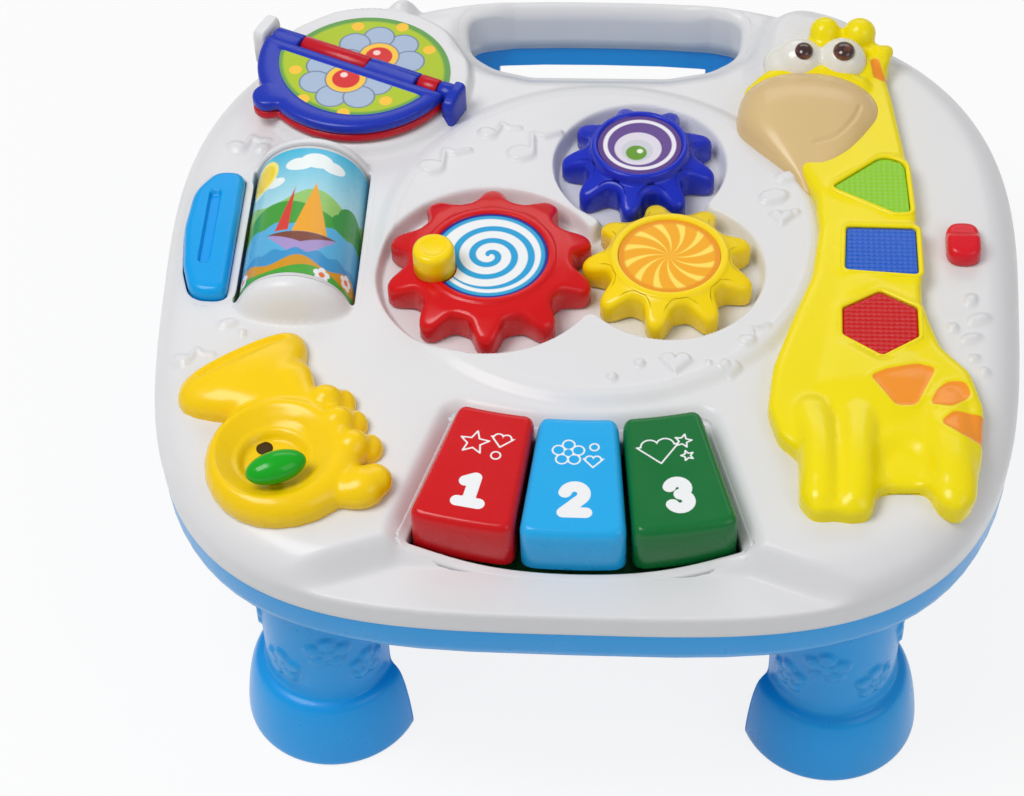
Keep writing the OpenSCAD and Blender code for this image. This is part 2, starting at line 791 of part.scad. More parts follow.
module gear_red() color(red) on_deck() translate(red_at) difference() {
    gear(red_teeth, red_r, red_phase, red_label_r, flat_collar);
    translate([knob_spot[0], knob_spot[1], gear_top - 6]) cylinder(r = knob_peg_r, h = 10);
}
module gear_red_label() color("lightblue") on_deck() translate(red_at) difference() {
    gear_label(red_label_r, flat_collar);
    translate(knob_spot) cylinder(r = knob_r + 0.4, h = cut, center = true);
}
module gear_red_knob() color(yellow) on_deck() translate(red_at)
    translate([knob_spot[0], knob_spot[1], gear_top + flat_collar]) {
        rotate_extrude() polygon([
            [0, 0], [knob_r, 0], [knob_r, knob_h - 1.5], [knob_r - 0.5, knob_h - 0.5], [knob_r - 1.6, knob_h],
            [0, knob_h]
        ]);
        translate([0, 0, -5]) cylinder(r = knob_peg_r, h = 6);
    }
module gear_red_screw() on_deck() translate(red_at) gear_screw();
module gear_yellow() color(yellow) on_deck() translate(yellow_at)
    gear(yellow_teeth, yellow_r, yellow_phase, yellow_label_r, flat_collar);
module gear_yellow_label() color("orange") on_deck() translate(yellow_at)
    gear_label(yellow_label_r, flat_collar);
module gear_yellow_screw() on_deck() translate(yellow_at) gear_screw();
module gear_blue() color(navy) on_deck() translate(blue_at)
    gear(blue_teeth, blue_r, blue_phase, blue_label_r, blue_collar);
module gear_blue_label() color("mediumpurple") on_deck() translate(blue_at)
    gear_label(blue_label_r, blue_collar);
module gear_blue_screw() on_deck() translate(blue_at) gear_screw();

// Roller: a tube on a hub, with one web in the middle
module drum_roller() color(white) on_deck() translate([drum_x, 0, -drum_sunk]) along_y(drum_y - drum_l / 2)
    rotate_extrude($fn = 96) union() {
        translate([drum_r - wall, 0]) square([wall, drum_l]);
        translate([axle_r + run_fit, drum_l / 2 - 1.2]) square([drum_r - axle_r - run_fit - 1, 2.4]);
        translate([axle_r + run_fit, 0]) square([3, drum_l]);
    }
module drum_sleeve() color("lightskyblue") on_deck() translate([drum_x, 0, -drum_sunk])
    along_y(drum_y - drum_l / 2 + 1.5) rotate_extrude($fn = 96)
        translate([drum_r + 0.02, 0]) square([sleeve_t - 0.02, drum_l - 3]);
module drum_axle() color(steel) on_deck() translate([drum_x, 0, -drum_sunk])
    along_y(drum_front - bulkhead_t) cylinder(r = axle_r, h = drum_rear - drum_front + 2 * bulkhead_t);

// Piano key: a hollow moulding with a hinge tab under the deck and a foot that presses its dome
module key(i) {
    color(key_colours[i]) on_deck() on_key(i) difference() {
        union() {
            difference() {
                hull() {
                    translate([0, 0, -key_down]) linear_extrude(key_down + key_up - 2)
                        fan_plan(key_rear_r, key_front_r, key_angle, 0);
                    translate([0, 0, key_up - 2]) linear_extrude(2)
                        fan_plan(key_rear_r + 1.6, key_front_r - 1.6, key_angle * 0.92, 0);
                }
                translate([0, 0, -key_down - 1]) linear_extrude(key_down + key_up - wall)
                    fan_plan(key_rear_r + wall, key_front_r - wall, key_angle - 1.6, 0);
            }
            translate([0, -key_press_r, key_foot_z]) cylinder(r = 3.2, h = key_up - key_foot_z - 1);
            translate([-key_tab_w / 2, -key_rear_r - wall + 0.5, key_pivot_z - 2])
                cube([key_tab_w, key_rear_r - key_pivot_r + wall - 0.5, 4]);
            translate([0, -key_pivot_r, key_pivot_z]) rotate([0, 90, 0])
                cylinder(r = 3.4, h = key_tab_w, center = true);
        }
        translate([0, -key_pivot_r, key_pivot_z]) rotate([0, 90, 0])
            cylinder(r = key_rod_r + run_fit, h = key_tab_w + 2, center = true);
    }
}
module key_red() key(0);
module key_blue() key(1);
module key_green() key(2);
module key_rods() color(steel) on_deck() for (i = [0:2]) on_key(i)
    translate([0, -key_pivot_r, key_pivot_z]) rotate([0, 90, 0])
        cylinder(r = key_rod_r, h = key_tab_w + 2 * lug_t, center = true);

// Rubber dome: a hollow cone that a foot presses flat
module dome(height) {
    rotate_extrude() polygon([
        [dome_r, 0], [dome_r + 1, 0], [dome_r + 1, 0.8], [dome_r - 0.2, 1], [3, height - 1], [3, height],
        [0, height], [0, height - 1.4], [2, height - 1.4], [dome_r - 1.2, 0.6]
    ]);
}
module key_dome(i) color(rubber_grey) on_deck() on_key(i)
    translate([0, -key_press_r, board_z + board_t]) dome(dome_h);
module key_dome_red() key_dome(0);
module key_dome_blue() key_dome(1);
module key_dome_green() key_dome(2);

module circuit_board() color(board_green) on_deck()
    translate([board_at[0], board_at[1], board_z]) difference() {
    translate([-board_size[0] / 2, -board_size[1] / 2, 0]) cube([board_size[0], board_size[1], board_t]);
    for (p = board_screw_at) translate([p[0], p[1], -1]) cylinder(r = board_screw_r + 0.2, h = board_t + 2);
}
module sound_chip() color("black") on_deck() translate([board_at[0] + 18, board_at[1] + 9, board_z - 1.8])
    translate([-6, -6, 0]) cube([12, 12, 1.8]);
module board_screws() color(steel) on_deck() for (p = board_screw_at)
    translate([board_at[0] + p[0], board_at[1] + p[1], board_z + board_t]) {
        cylinder(r = 2.6, h = 1.6);
        translate([0, 0, -9]) cylinder(r = board_screw_r, h = 9.5);
    }

// Paddle button: follows the table's edge, with a finger groove and a flange that stops it
module paddle_button() color(sky) on_deck() difference() {
    union() {
        translate([0, 0, button_foot]) linear_extrude(button_up - button_foot - 1.6) button_plan(0);
        translate([0, 0, button_foot]) linear_extrude(button_up - button_foot) button_plan(1.4);
        translate([0, 0, button_foot]) linear_extrude(2) intersection() {
            button_plan(-button_flange - move_gap);
            polygon(table_outline(button_edge - 1));
        }
    }
    translate([button_mid - 2.6, button_y - 18, button_up - 1]) cube([5.2, 42, 3]);
    difference() {
        translate([button_mid - 6, button_y - 24, button_foot - 1])
            cube([12, 48, button_up - button_foot - 2]);
        button_foot_peg();
    }
}
module button_foot_peg() translate([button_mid, button_y, button_foot])
    cylinder(r = 3.2, h = button_up - button_foot);
module paddle_dome() color(rubber_grey) on_deck() translate([button_mid, button_y, button_board_z + board_t])
    dome(button_foot - 0.3 - button_board_z - board_t);
module paddle_board() color(board_green) on_deck() translate([button_mid, button_y, button_board_z])
    translate([-button_board_size[0] / 2, -button_board_size[1] / 2, 0])
        cube([button_board_size[0], button_board_size[1], board_t]);

// Slide switch: the knob's stem passes a slot in the deck into the switch below
module power_knob() color(red) on_deck() translate([knob_at[0], knob_at[1], 0]) {
    translate([0, 0, 0.4]) cushion(knob_up - 0.4, 2) rounded(5) square(knob_size, center = true);
    translate([-stem_size[0] / 2, -stem_size[1] / 2, -wall - 3]) cube([stem_size[0], stem_size[1], wall + 4]);
}
module power_switch() color(steel) on_deck()
    translate([knob_at[0], knob_at[1] - knob_travel / 2, -wall - switch_size[2]]) difference() {
        translate([-switch_size[0] / 2, -switch_size[1] / 2, 0]) cube(switch_size);
        translate([-stem_size[0] / 2 - move_gap, -(stem_size[1] + knob_travel) / 2 - move_gap,
                   switch_size[2] - 3.6])
            cube([stem_size[0] + 2 * move_gap, stem_size[1] + knob_travel + 2 * move_gap, 5]);
    }

// Book page: half a disc with a tab at the left, on knuckles that leave room for the other page's
module page(low, thick, first) {
    difference() {
        union() {
            intersection() {
                union() {
                    translate([0, 0, low]) cylinder(r = page_r, h = thick, $fn = 96);
                    rotate([0, 0, 205]) translate([page_r - 1, 0, low]) cylinder(r = 6.5, h = thick);
                }
                translate([-cut, -cut - page_start, -cut]) cube([2 * cut, cut, 2 * cut]);
            }
            for (k = [first, first + 2]) {
                from = -book_l / 2 + knuckle_stops[k] + page_gap;
                long = knuckle_stops[k + 1] - knuckle_stops[k] - 2 * page_gap;
                translate([from, 0, 0]) rotate([0, 90, 0]) cylinder(r = knuckle_r, h = long);
                translate([from, -page_start - 1, low > 0 ? low : low + thick - 2.4])
                    cube([long, page_start + 1, 2.4]);
            }
        }
        translate([-cut, 0, 0]) rotate([0, 90, 0]) cylinder(r = book_pin_r + run_fit, h = 2 * cut);
    }
}

module page_picture(z) {
    intersection() {
        translate([0, 0, z]) cylinder(r = page_r - 5, h = label_t, $fn = 72);
        translate([-cut, -cut - page_start - 2, -cut]) cube([2 * cut, cut, 2 * cut]);
    }
}

module at_book_axis() on_deck() on_book() translate([0, 0, book_axis_z]) children();
module page_blue() color(navy) at_book_axis() difference() {
    page(page_gap, blue_page_t, 0);
    picture_recess(page_gap + blue_page_t - 1);
}
module picture_recess(z) {
    intersection() {
        translate([0, 0, z]) cylinder(r = page_r - 5 + seat_gap, h = 5, $fn = 72);
        translate([-cut, -cut - page_start - 2 + seat_gap, -cut]) cube([2 * cut, cut, 2 * cut]);
    }
}
module page_blue_picture() color("yellowgreen") at_book_axis() page_picture(page_gap + blue_page_t - 1);
module page_red() color(red) at_book_axis() difference() {
    page(-page_gap - red_page_t, red_page_t, 1);
    picture_recess(-page_gap - 0.8);
}
module page_red_picture() color("yellowgreen") at_book_axis() page_picture(-page_gap - 0.8);
module book_base_picture() color("yellowgreen") on_deck() on_book() difference() {
    translate([0, 0, book_base_h]) cylinder(r = page_r - 4, h = label_t, $fn = 72);
    translate([-cut, -2 * cut, 0]) cube([2 * cut, 2 * cut - 1, cut]);
}
module book_pin() color(steel) at_book_axis() translate([-book_l / 2 - 5, 0, 0]) rotate([0, 90, 0])
    cylinder(r = book_pin_r, h = book_l + 5);
module book_post() color(navy) on_deck() on_book() difference() {
    union() {
        translate([post_at, -post_front, plateau_h])
            cube([post_w, post_front + knuckle_r + 1, book_axis_z - plateau_h]);
        translate([book_l / 2 - post_l + page_gap, 0, book_axis_z]) rotate([0, 90, 0])
            cylinder(r = knuckle_r, h = post_at + post_w - book_l / 2 + post_l - page_gap);
    }
    cylinder(r1 = book_base_r + 2, r2 = book_base_r, h = book_base_h, $fn = 96);
    translate([0, 0, book_axis_z]) rotate([0, 90, 0]) cylinder(r = book_pin_r, h = book_l);
}

// Horn: cushioned outline with a dish in its loop, valve bumps and a mouthpiece
module horn_body() color(yellow) on_deck() difference() {
    union() {
        cushion(horn_h, 3) horn_plan();
        translate(horn_at) for (p = valve_at) translate([p[0], p[1], 5.5]) sphere(r = 6);
        translate([horn_at[0] + 36, horn_at[1] - 6, 5]) sphere(r = 7.5);
    }
    below(0);
    translate([drum_x, 0, -drum_sunk]) along_y(drum_front) rotate([180, 0, 0]) rotate_extrude()
        hood_profile(2 * seat_gap);
    translate([horn_at[0], horn_at[1], 0]) rotate_extrude() polygon([
        [0, dish_floor], [9, dish_floor], [dish_r - 3, dish_floor + 3], [dish_r, horn_h - 1],
        [dish_r + 2, horn_h + 1], [0, horn_h + 1]
    ]);
    on_lever() translate([-stem_r - move_gap, -stem_r - 1, -1])
        cube([2 * (stem_r + move_gap), stem_r + 1 + lever_slot, cut]);
}

module horn_lever() color("limegreen") on_deck() on_lever() difference() {
    union() {
        hull() for (s = [-1, 1]) translate([s * bean_half, 0, bean_z]) sphere(r = bean_r, $fn = 32);
        translate([0, 0, lever_pivot_z]) cylinder(r = stem_r, h = bean_z - lever_pivot_z - 2);
        translate([0, 0, lever_pivot_z]) rotate([0, 90, 0])
            cylinder(r = barrel_r, h = barrel_l, center = true);
    }
    translate([0, 0, lever_pivot_z]) rotate([0, 90, 0])
        cylinder(r = lever_pin_r + run_fit, h = barrel_l + 2, center = true);
}
module horn_lever_pin() color(steel) on_deck() on_lever() translate([0, 0, lever_pivot_z]) rotate([0, 90, 0])
    cylinder(r = lever_pin_r, h = barrel_l + 2 * lug_t, center = true);

// Giraffe: a hollow moulding with three windows for the lenses
module giraffe_body() color(yellow) on_deck() on_giraffe() difference() {
    union() {
        cushion(giraffe_h, 3) giraffe_plan();
        for (p = horn_knob_at) {
            translate([p[0], p[1] - 2, 0]) cylinder(r = 4, h = 15);
            translate([p[0], p[1], 16]) sphere(r = 6.5);
        }
        translate([112, 106, 9]) sphere(r = 7);
        for (b = leg_bulges) hull() for (y = [b[1], b[2]]) translate([b[0], y, 2]) sphere(r = b[3], $fn = 24);
    }
    below(0);
    difference() {
        eyeballs(seat_gap);
        below(giraffe_h);
    }
    translate([0, 0, -1]) linear_extrude(giraffe_h - wall - 1.6) intersection() {
        offset(delta = -wall) giraffe_plan();
        translate([60, -60]) square([90, 120]);
    }
    translate([0, 0, giraffe_h - lens_sunk - lens_t]) linear_extrude(cut) lens_plans(0);
    linear_extrude(giraffe_h) lens_plans(-lens_lip);
}
module lens_plans(grow) {
    offset(delta = grow) green_lens_plan();
    offset(delta = grow) blue_lens_plan();
    offset(delta = grow) red_lens_plan();
}
module lens() {
    on_deck() on_giraffe() translate([0, 0, giraffe_h - lens_sunk - lens_t])
        linear_extrude(lens_t) offset(delta = -seat_gap) children();
}
module lens_green() color("lime") lens() green_lens_plan();
module lens_blue() color("blue") lens() blue_lens_plan();
module lens_red() color("crimson") lens() red_lens_plan();

module muzzle_plan() {
    hull() {
        translate(muzzle_at) scale([1.06, 0.92]) circle(r = muzzle_r);
        translate(chin_at) circle(r = chin_r);
    }
}

// Everything below a height
module below(z) translate([0, 0, z - cut]) linear_extrude(cut) square(2 * table_w, center = true);

module eyeballs(grow) {
    for (p = eye_at) translate([p[0], p[1], giraffe_h + 3]) sphere(r = eye_r + grow);
}

// Muzzle: a soft bulge that laps over the head's edge down to the deck
module giraffe_muzzle() color("tan") on_deck() on_giraffe() difference() {
    hull() {
        translate([muzzle_at[0], muzzle_at[1], muzzle_z]) scale([1.06, 0.92, muzzle_flat])
            sphere(r = muzzle_r, $fn = 48);
        translate([chin_at[0], chin_at[1], muzzle_z]) scale([1, 1, muzzle_flat]) sphere(r = chin_r, $fn = 32);
    }
    below(0);
    linear_extrude(giraffe_h) offset(delta = seat_gap) giraffe_plan();
}
module giraffe_eye_whites() color(white) on_deck() on_giraffe() difference() {
    eyeballs(0);
    below(giraffe_h);
    linear_extrude(cut) offset(delta = seat_gap) muzzle_plan();
}
module giraffe_eyes() color("saddlebrown") on_deck() on_giraffe() difference() {
    for (p = eye_at) translate([p[0], p[1] - 5, giraffe_h + 11]) sphere(r = iris_r);
    eyeballs(0.1);
}

module lamp_board() color(board_green) on_deck() on_giraffe()
    translate([106, -50, lamp_board_z]) cube([12, 106, board_t]);
module lamps() color("ivory") on_deck() on_giraffe() for (p = lamp_at)
    translate([p[0], p[1], lamp_board_z + board_t]) {
        cylinder(r = lamp_r, h = 6);
        translate([0, 0, 6]) sphere(r = lamp_r - 0.2);
    }

module speaker() color("darkslategray") on_deck() translate([speaker_at[0], speaker_at[1], tray_floor])
    rotate_extrude($fn = 72) polygon([
        [0, 4], [8, 3.2], [speaker_r - 3, 1.2], [speaker_r - 3, 0], [speaker_r, 0], [speaker_r, 2], [12, 9],
        [12, speaker_h], [0, speaker_h]
    ]);

module battery_cells() color("dimgray") on_deck() for (i = [-1:1])
    translate([bay_at[0] - cell_l / 2, bay_at[1] + i * cell_pitch, cell_z]) rotate([0, 90, 0]) {
        cylinder(r = cell_r, h = cell_l - 1.5);
        cylinder(r = 2.7, h = cell_l);
    }
module battery_contacts() color(steel) on_deck() for (s = [-1, 1]) for (i = [-1:1])
    translate([bay_at[0] + s * (bay_size[0] / 2 - 0.4), bay_at[1] + i * cell_pitch, cell_z]) {
        cube([0.8, 11, 11], center = true);
        translate([-s * 1.6, 0, 0]) rotate([0, 90, 0]) cylinder(r = 2.2, h = 3, center = true);
    }
module battery_cover() color(sky) on_deck() difference() {
    translate([0, 0, tray_z]) linear_extrude(1.6) cover_plan(0);
    translate([cover_screw_at[0], cover_screw_at[1], tray_z - 1]) cylinder(r = cover_screw_r + 0.3, h = 5);
}
module battery_cover_screw() color(steel) on_deck()
    translate([cover_screw_at[0], cover_screw_at[1], tray_z - 1.4]) {
        cylinder(r = 3, h = 1.4);
        cylinder(r = cover_screw_r, h = 10);
    }
module case_screws() color(steel) on_deck() for (p = case_screw_at) translate([p[0], p[1], tray_z + 3]) {
    cylinder(r = 2.9, h = 2);
    cylinder(r = case_screw_r, h = rim_h + 2);
}

top_shell();
base_tray();
leg_front_left();
leg_front_right();
leg_rear_left();
leg_rear_right();
gear_red();
gear_red_label();
gear_red_knob();
gear_red_screw();
gear_yellow();
gear_yellow_label();
gear_yellow_screw();
gear_blue();
gear_blue_label();
gear_blue_screw();
drum_roller();
drum_sleeve();
drum_axle();
key_red();
key_blue();
key_green();
key_rods();
key_dome_red();
key_dome_blue();
key_dome_green();
circuit_board();
sound_chip();
board_screws();
paddle_button();
paddle_dome();
paddle_board();
power_knob();
power_switch();
page_blue();
page_blue_picture();
page_red();
page_red_picture();
book_base_picture();
book_pin();
book_post();
horn_body();
horn_lever();
horn_lever_pin();
giraffe_body();
lens_green();
lens_blue();
lens_red();
giraffe_muzzle();
giraffe_eye_whites();
giraffe_eyes();
lamp_board();
lamps();
speaker();
battery_cells();
battery_contacts();
battery_cover();
battery_cover_screw();
case_screws();
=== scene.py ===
# Children's play table: the finished look of every piece, put together from the floor up.
# Lengths are millimetres from the deck plane, as in the part's source, until mesh() scales them.
import math
import bpy
import numpy as np
from mathutils import Matrix, Vector


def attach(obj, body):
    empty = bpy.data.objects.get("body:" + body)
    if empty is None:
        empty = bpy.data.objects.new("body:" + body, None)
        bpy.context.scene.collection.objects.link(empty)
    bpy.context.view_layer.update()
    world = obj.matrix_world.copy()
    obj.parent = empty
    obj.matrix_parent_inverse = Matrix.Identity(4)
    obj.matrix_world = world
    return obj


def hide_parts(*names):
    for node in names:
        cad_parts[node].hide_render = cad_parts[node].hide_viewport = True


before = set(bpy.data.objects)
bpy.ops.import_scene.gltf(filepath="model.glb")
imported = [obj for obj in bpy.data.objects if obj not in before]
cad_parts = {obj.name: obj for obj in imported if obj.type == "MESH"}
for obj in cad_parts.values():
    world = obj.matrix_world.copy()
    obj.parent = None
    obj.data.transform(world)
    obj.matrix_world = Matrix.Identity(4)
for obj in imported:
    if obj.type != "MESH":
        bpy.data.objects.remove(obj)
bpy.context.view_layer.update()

# Base tray
# The light blue lower half of the case, one moulding with its rim, floor and speaker holes.
# The legs push into it from below and the white shell is screwed to it from below.
deck = 135.0
half_w = 165.0
half_d = 160.0
sharp_angle = math.radians(32)


def shade(red, green, blue):
    """Screen colour to the linear colour that the shader takes."""
    return tuple(c / 255 / 12.92 if c < 11 else ((c / 255 + 0.055) / 1.055) ** 2.4
                 for c in (red, green, blue)) + (1.0,)


def feed(tree, socket, value):
    """Links an output to a socket, or sets a plain value on it."""
    if isinstance(value, bpy.types.NodeSocket):
        tree.links.new(value, socket)
    else:
        socket.default_value = value


def calc(tree, operation, *values):
    step = tree.nodes.new("ShaderNodeMath")
    step.operation = operation
    for socket, value in zip(step.inputs, values):
        feed(tree, socket, value)
    return step.outputs[0]


def spread(tree, value, low, high, to_low=0.0, to_high=1.0):
    step = tree.nodes.new("ShaderNodeMapRange")
    for socket, number in zip(step.inputs, (value, low, high, to_low, to_high)):
        feed(tree, socket, number)
    return step.outputs[0]


def speckle(tree, place, scale, detail=2.0):
    step = tree.nodes.new("ShaderNodeTexNoise")
    for name, value in (("Vector", place), ("Scale", scale), ("Detail", detail)):
        feed(tree, step.inputs[name], value)
    return step.outputs["Fac"]


def over(tree, under, mask, top):
    """Colour laid over another where the mask is 1."""
    step = tree.nodes.new("ShaderNodeMix")
    step.data_type = "RGBA"
    for socket, value in ((0, mask), (6, under), (7, top)):
        feed(tree, step.inputs[socket], value)
    return step.outputs[2]


def moulded(name, tint, rough=0.26, drift=0.05, coat=0.12, print_and_glint_on=None, grain=None):
    """Injection-moulded plastic: colour that drifts a little, a fine mould grain and a glossy skin."""
    mat = bpy.data.materials.new(name)
    mat.use_nodes = True
    tree = mat.node_tree
    place = tree.nodes.new("ShaderNodeTexCoord").outputs["Object"]
    dark = tuple(c * (1 - drift) for c in tint[:3]) + (1.0,)
    light = tuple(min(1.0, c * (1 + drift)) for c in tint[:3]) + (1.0,)
    skin = over(tree, dark, speckle(tree, place, 17.0), light)
    if print_and_glint_on:
        skin = print_and_glint_on(tree, place, skin)
    polish = spread(tree, speckle(tree, place, 60.0, 3.0), 0.3, 0.7, rough - 0.04, rough + 0.05)
    bump = tree.nodes.new("ShaderNodeBump")
    strength, deep = (0.4, 0.0008) if grain else (0.05, 0.0003)
    height = grain(tree, place) if grain else speckle(tree, place, 900.0, 3.0)
    for socket, value in (("Strength", strength), ("Distance", deep), ("Height", height)):
        feed(tree, bump.inputs[socket], value)
    shader = tree.nodes["Principled BSDF"]
    for socket, value in (("Base Color", skin), ("Roughness", polish), ("Normal", bump.outputs["Normal"]),
                          ("Specular IOR Level", 0.27), ("Coat Weight", coat), ("Coat Roughness", 0.1)):
        feed(tree, shader.inputs[socket], value)
    return mat


def soft_edges(piece):
    """Shades a piece smooth, but keeps its sharp edges."""
    group = bpy.data.node_groups.get("soft_edges")
    if group is None:
        group = bpy.data.node_groups.new("soft_edges", "GeometryNodeTree")
        for way in ("INPUT", "OUTPUT"):
            group.interface.new_socket("Geometry", in_out=way, socket_type="NodeSocketGeometry")
        chain = [group.nodes.new(kind) for kind in (
            "NodeGroupInput", "GeometryNodeMergeByDistance", "GeometryNodeRemoveAttribute",
            "GeometryNodeSetShadeSmooth", "GeometryNodeSetShadeSmooth", "NodeGroupOutput")]
        for first, second in zip(chain[:-1], chain[1:]):
            group.links.new(first.outputs[0], second.inputs["Geometry"])
        weld, clear, faces, edges = chain[1:-1]
        weld.inputs["Distance"].default_value = 0.000002
        clear.inputs["Name"].default_value = "custom_normal"
        edges.domain = "EDGE"
        edges.inputs["Shade Smooth"].default_value = False
        bend = group.nodes.new("GeometryNodeInputMeshEdgeAngle").outputs["Unsigned Angle"]
        group.links.new(calc(group, "GREATER_THAN", bend, sharp_angle), edges.inputs["Selection"])
    piece.modifiers.new("soft_edges", "NODES").node_group = group


def dress(node, mat):
    """Gives a piece that keeps its solid from the source its finish."""
    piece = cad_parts[node]
    piece.data.materials.clear()
    piece.data.materials.append(mat)
    soft_edges(piece)


sky = moulded("sky_plastic", shade(16, 160, 236), rough=0.3)
dress("base_tray", sky)
dress("battery_cover", sky)

# Legs
# Four light blue half-round columns, open to the inside, each with a wide flared foot.
# Raised blossoms stand on the column; a plug on top pushes into the tray.
leg_axis = (96.5, 108.8)
leg_top = 94.6
leg_wall = 2.4
leg_open_at = 12.0
leg_columns = 121
blossom_rise = 1.3
# Degrees round the column, height and size of each blossom
leg_blossoms = ((-4, 47, 8.5), (46, 62, 9.5), (-50, 60, 9), (82, 46, 7.5), (-86, 47, 8))


def mesh(name, skin, mat, node=None, body="table"):
    """Makes a piece from points in millimetres and faces, and lets it ride on its body."""
    points, faces = skin
    data = bpy.data.meshes.new(name)
    data.from_pydata((np.asarray(points, float) + (0, 0, deck)) * 0.001, [], [tuple(f) for f in faces])
    data.polygons.foreach_set("use_smooth", [True] * len(data.polygons))
    data.update()
    piece = bpy.data.objects.new(name, data)
    bpy.context.scene.collection.objects.link(piece)
    data.materials.append(mat)
    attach(piece, body)
    if node:
        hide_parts(node)
    return piece


def skin_faces(rows, columns, wrap=True):
    """Quads between rows of points; wrap joins the last column to the first."""
    a = np.arange(rows * columns).reshape(rows, columns)
    b = np.roll(a, -1, axis=1)
    if not wrap:
        a, b = a[:, :-1], b[:, :-1]
    return np.stack([a[:-1], b[:-1], b[1:], a[1:]], axis=-1).reshape(-1, 4)


def through(knots, count):
    """Smooth curve through the knots, evenly spaced along its length."""
    knots = np.asarray(knots, float)
    padded = np.vstack([2 * knots[0] - knots[1], knots, 2 * knots[-1] - knots[-2]])
    t = np.linspace(0, 1, 12)[:-1, None]
    run = []
    for p0, p1, p2, p3 in zip(padded[:-3], padded[1:-2], padded[2:-1], padded[3:]):
        run.append(0.5 * (2 * p1 + (p2 - p0) * t + (2 * p0 - 5 * p1 + 4 * p2 - p3) * t ** 2
                          + (3 * p1 - p0 - 3 * p2 + p3) * t ** 3))
    run = np.vstack(run + [knots[-1:]])
    at = np.r_[0, np.cumsum(np.hypot(*np.diff(run, axis=0).T[:2]))]
    spots = np.linspace(0, at[-1], count)
    return np.stack([np.interp(spots, at, track) for track in run.T], 1)


def soft_step(gap, width):
    """1 inside, 0 outside, with a smooth rise of that width across the edge."""
    s = np.clip(0.5 - gap / width, 0, 1)
    return s * s * (3 - 2 * s)


def blossom_gap(u, v, size):
    """Distance outside a flower of five round petals."""
    gap = np.hypot(u, v) - 0.3 * size
    for a in np.radians(90 + 72 * np.arange(5)):
        petal = np.hypot(u - 0.62 * size * math.cos(a), v - 0.62 * size * math.sin(a)) - 0.36 * size
        gap = np.minimum(gap, petal)
    return gap


foot_line = through([
    (33.3, 0), (34, 0.9), (33.9, 5), (33, 13), (31.6, 21), (30.2, 26), (28.8, 28.9), (27, 30.2), (25.4, 31),
    (24.7, 33), (24.5, 37), (24.5, 55), (24.5, 75), (24.5, leg_top)], 110)
leg_line = np.vstack([foot_line, foot_line[::-1] - (leg_wall, 0)])
outside = (np.arange(len(leg_line)) < len(foot_line))[:, None]
for sx, sy, node in ((-1, -1, "leg_front_left"), (1, -1, "leg_front_right"),
                     (-1, 1, "leg_rear_left"), (1, 1, "leg_rear_right")):
    x, y = sx * leg_axis[0], sy * leg_axis[1]
    turn = math.atan2(y, x)
    angle = np.arccos(-leg_open_at / leg_line[:, :1]) * np.linspace(-1, 1, leg_columns)
    reach = np.repeat(leg_line[:, :1], leg_columns, axis=1)
    height = np.repeat(leg_line[:, 1:], leg_columns, axis=1)
    for at, up, size in leg_blossoms:
        gap = blossom_gap(reach * (angle - math.radians(at) * -sx * sy), height - up, size)
        rise = blossom_rise * soft_step(gap, 1.8) - 0.7 * soft_step(np.abs(gap + 1.6), 1.2)
        reach = reach + rise * outside
    leg = np.stack([x + reach * np.cos(angle + turn), y + reach * np.sin(angle + turn), height - deck], -1)
    rows = len(leg_line)
    faces = (skin_faces(rows + 1, leg_columns, wrap=False) % (rows * leg_columns)).tolist()
    ends = np.arange(rows) * leg_columns
    faces += [ends[::-1].tolist(), (ends + leg_columns - 1).tolist()]
    mesh(node + "_shell", (leg.reshape(-1, 3), faces), sky, node)

# Top shell
# The white upper half of the case, one moulding: rounded rim, raised round plateau, gear basin, wells for the
# keys, drum and button, a carry slot at the rear and small raised motifs. Eight screws hold it from below.
seam = -23.2
rim_wide, rim_tall = 15.0, 15.2
shell_wall = 1.6
plateau_at, plateau_r, plateau_h = (4.0, 14.0), 88.0, 2.5
yellow_way, blue_way = 1.5, 102.6
basin_depth = 4.5
fan_centre = (0.0, 75.0)
key_rear, key_front = 160, 215
drum_x, drum_z, drum_r = -111.0, -7.0, 22.0
drum_half, drum_front, drum_rear = 23.2, -24.65, 47.05
book_at = np.array((-95.0, 100.0))
book_turn = math.radians(-24)
book_base_r, book_base_h = 43.2, 4.5
nub_at, nub_top = (-84.0, 144.8), 7.4
pad_h = 8
surround_z, apron_z = -8.0, -12.0
slot_bar, bar_rise, slot_drop = 10, 2.4, 7.5
lever_opening, lever_opening_r = (-106.0, -115.0), 12.5
motif_h = 1.7
# Place, lean and size of the notes; place and size of the hearts
notes = (((-63.7, 48.4), -2, 1.0), ((-42.8, 68.5), -22, 0.76), ((-28.7, 57.3), 3, 1.1),
         ((60.5, -40.8), 8, 0.66), ((-150, -54.6), -22, 0.72), ((-143, 60.5), -18, 0.76))
hearts = (((34.4, -53), 5.4), ((54.7, -54.3), 3.8), ((74, 24), 4.4))
# Place, half length, half width and lean of the ovals; place and radius of the dots
ovals = (((144.6, -15.5), 3.6, 2.6, 60), ((147, -25.2), 5.2, 2.7, 24), ((143.7, -35), 4.8, 2.3, 20),
         ((144.4, -44.8), 2.6, 1.7, 10), ((71, 35.5), 6.2, 4.0, 18), ((76, 46.5), 4.6, 3.0, 10),
         ((-134.6, -36), 4.2, 2.4, 20), ((-132.6, 60), 3.4, 2.6, 30))
dots = (((11.2, -60.6), 2.2), ((21.2, -53.4), 2.2), ((46.6, -52.3), 1.4), ((79.5, 27.5), 1.8),
        ((137.4, -29.6), 2.3), ((147.8, -51.3), 2.0), ((-128.4, -40.4), 1.8))


def compass(degrees):
    """One millimetre in a direction on the deck."""
    return np.array((math.cos(math.radians(degrees)), math.sin(math.radians(degrees))))


red_at = np.array((-37.2, -6.0))
yellow_at = red_at + 68.3 * compass(yellow_way)
blue_at = yellow_at + 58.6 * compass(blue_way)


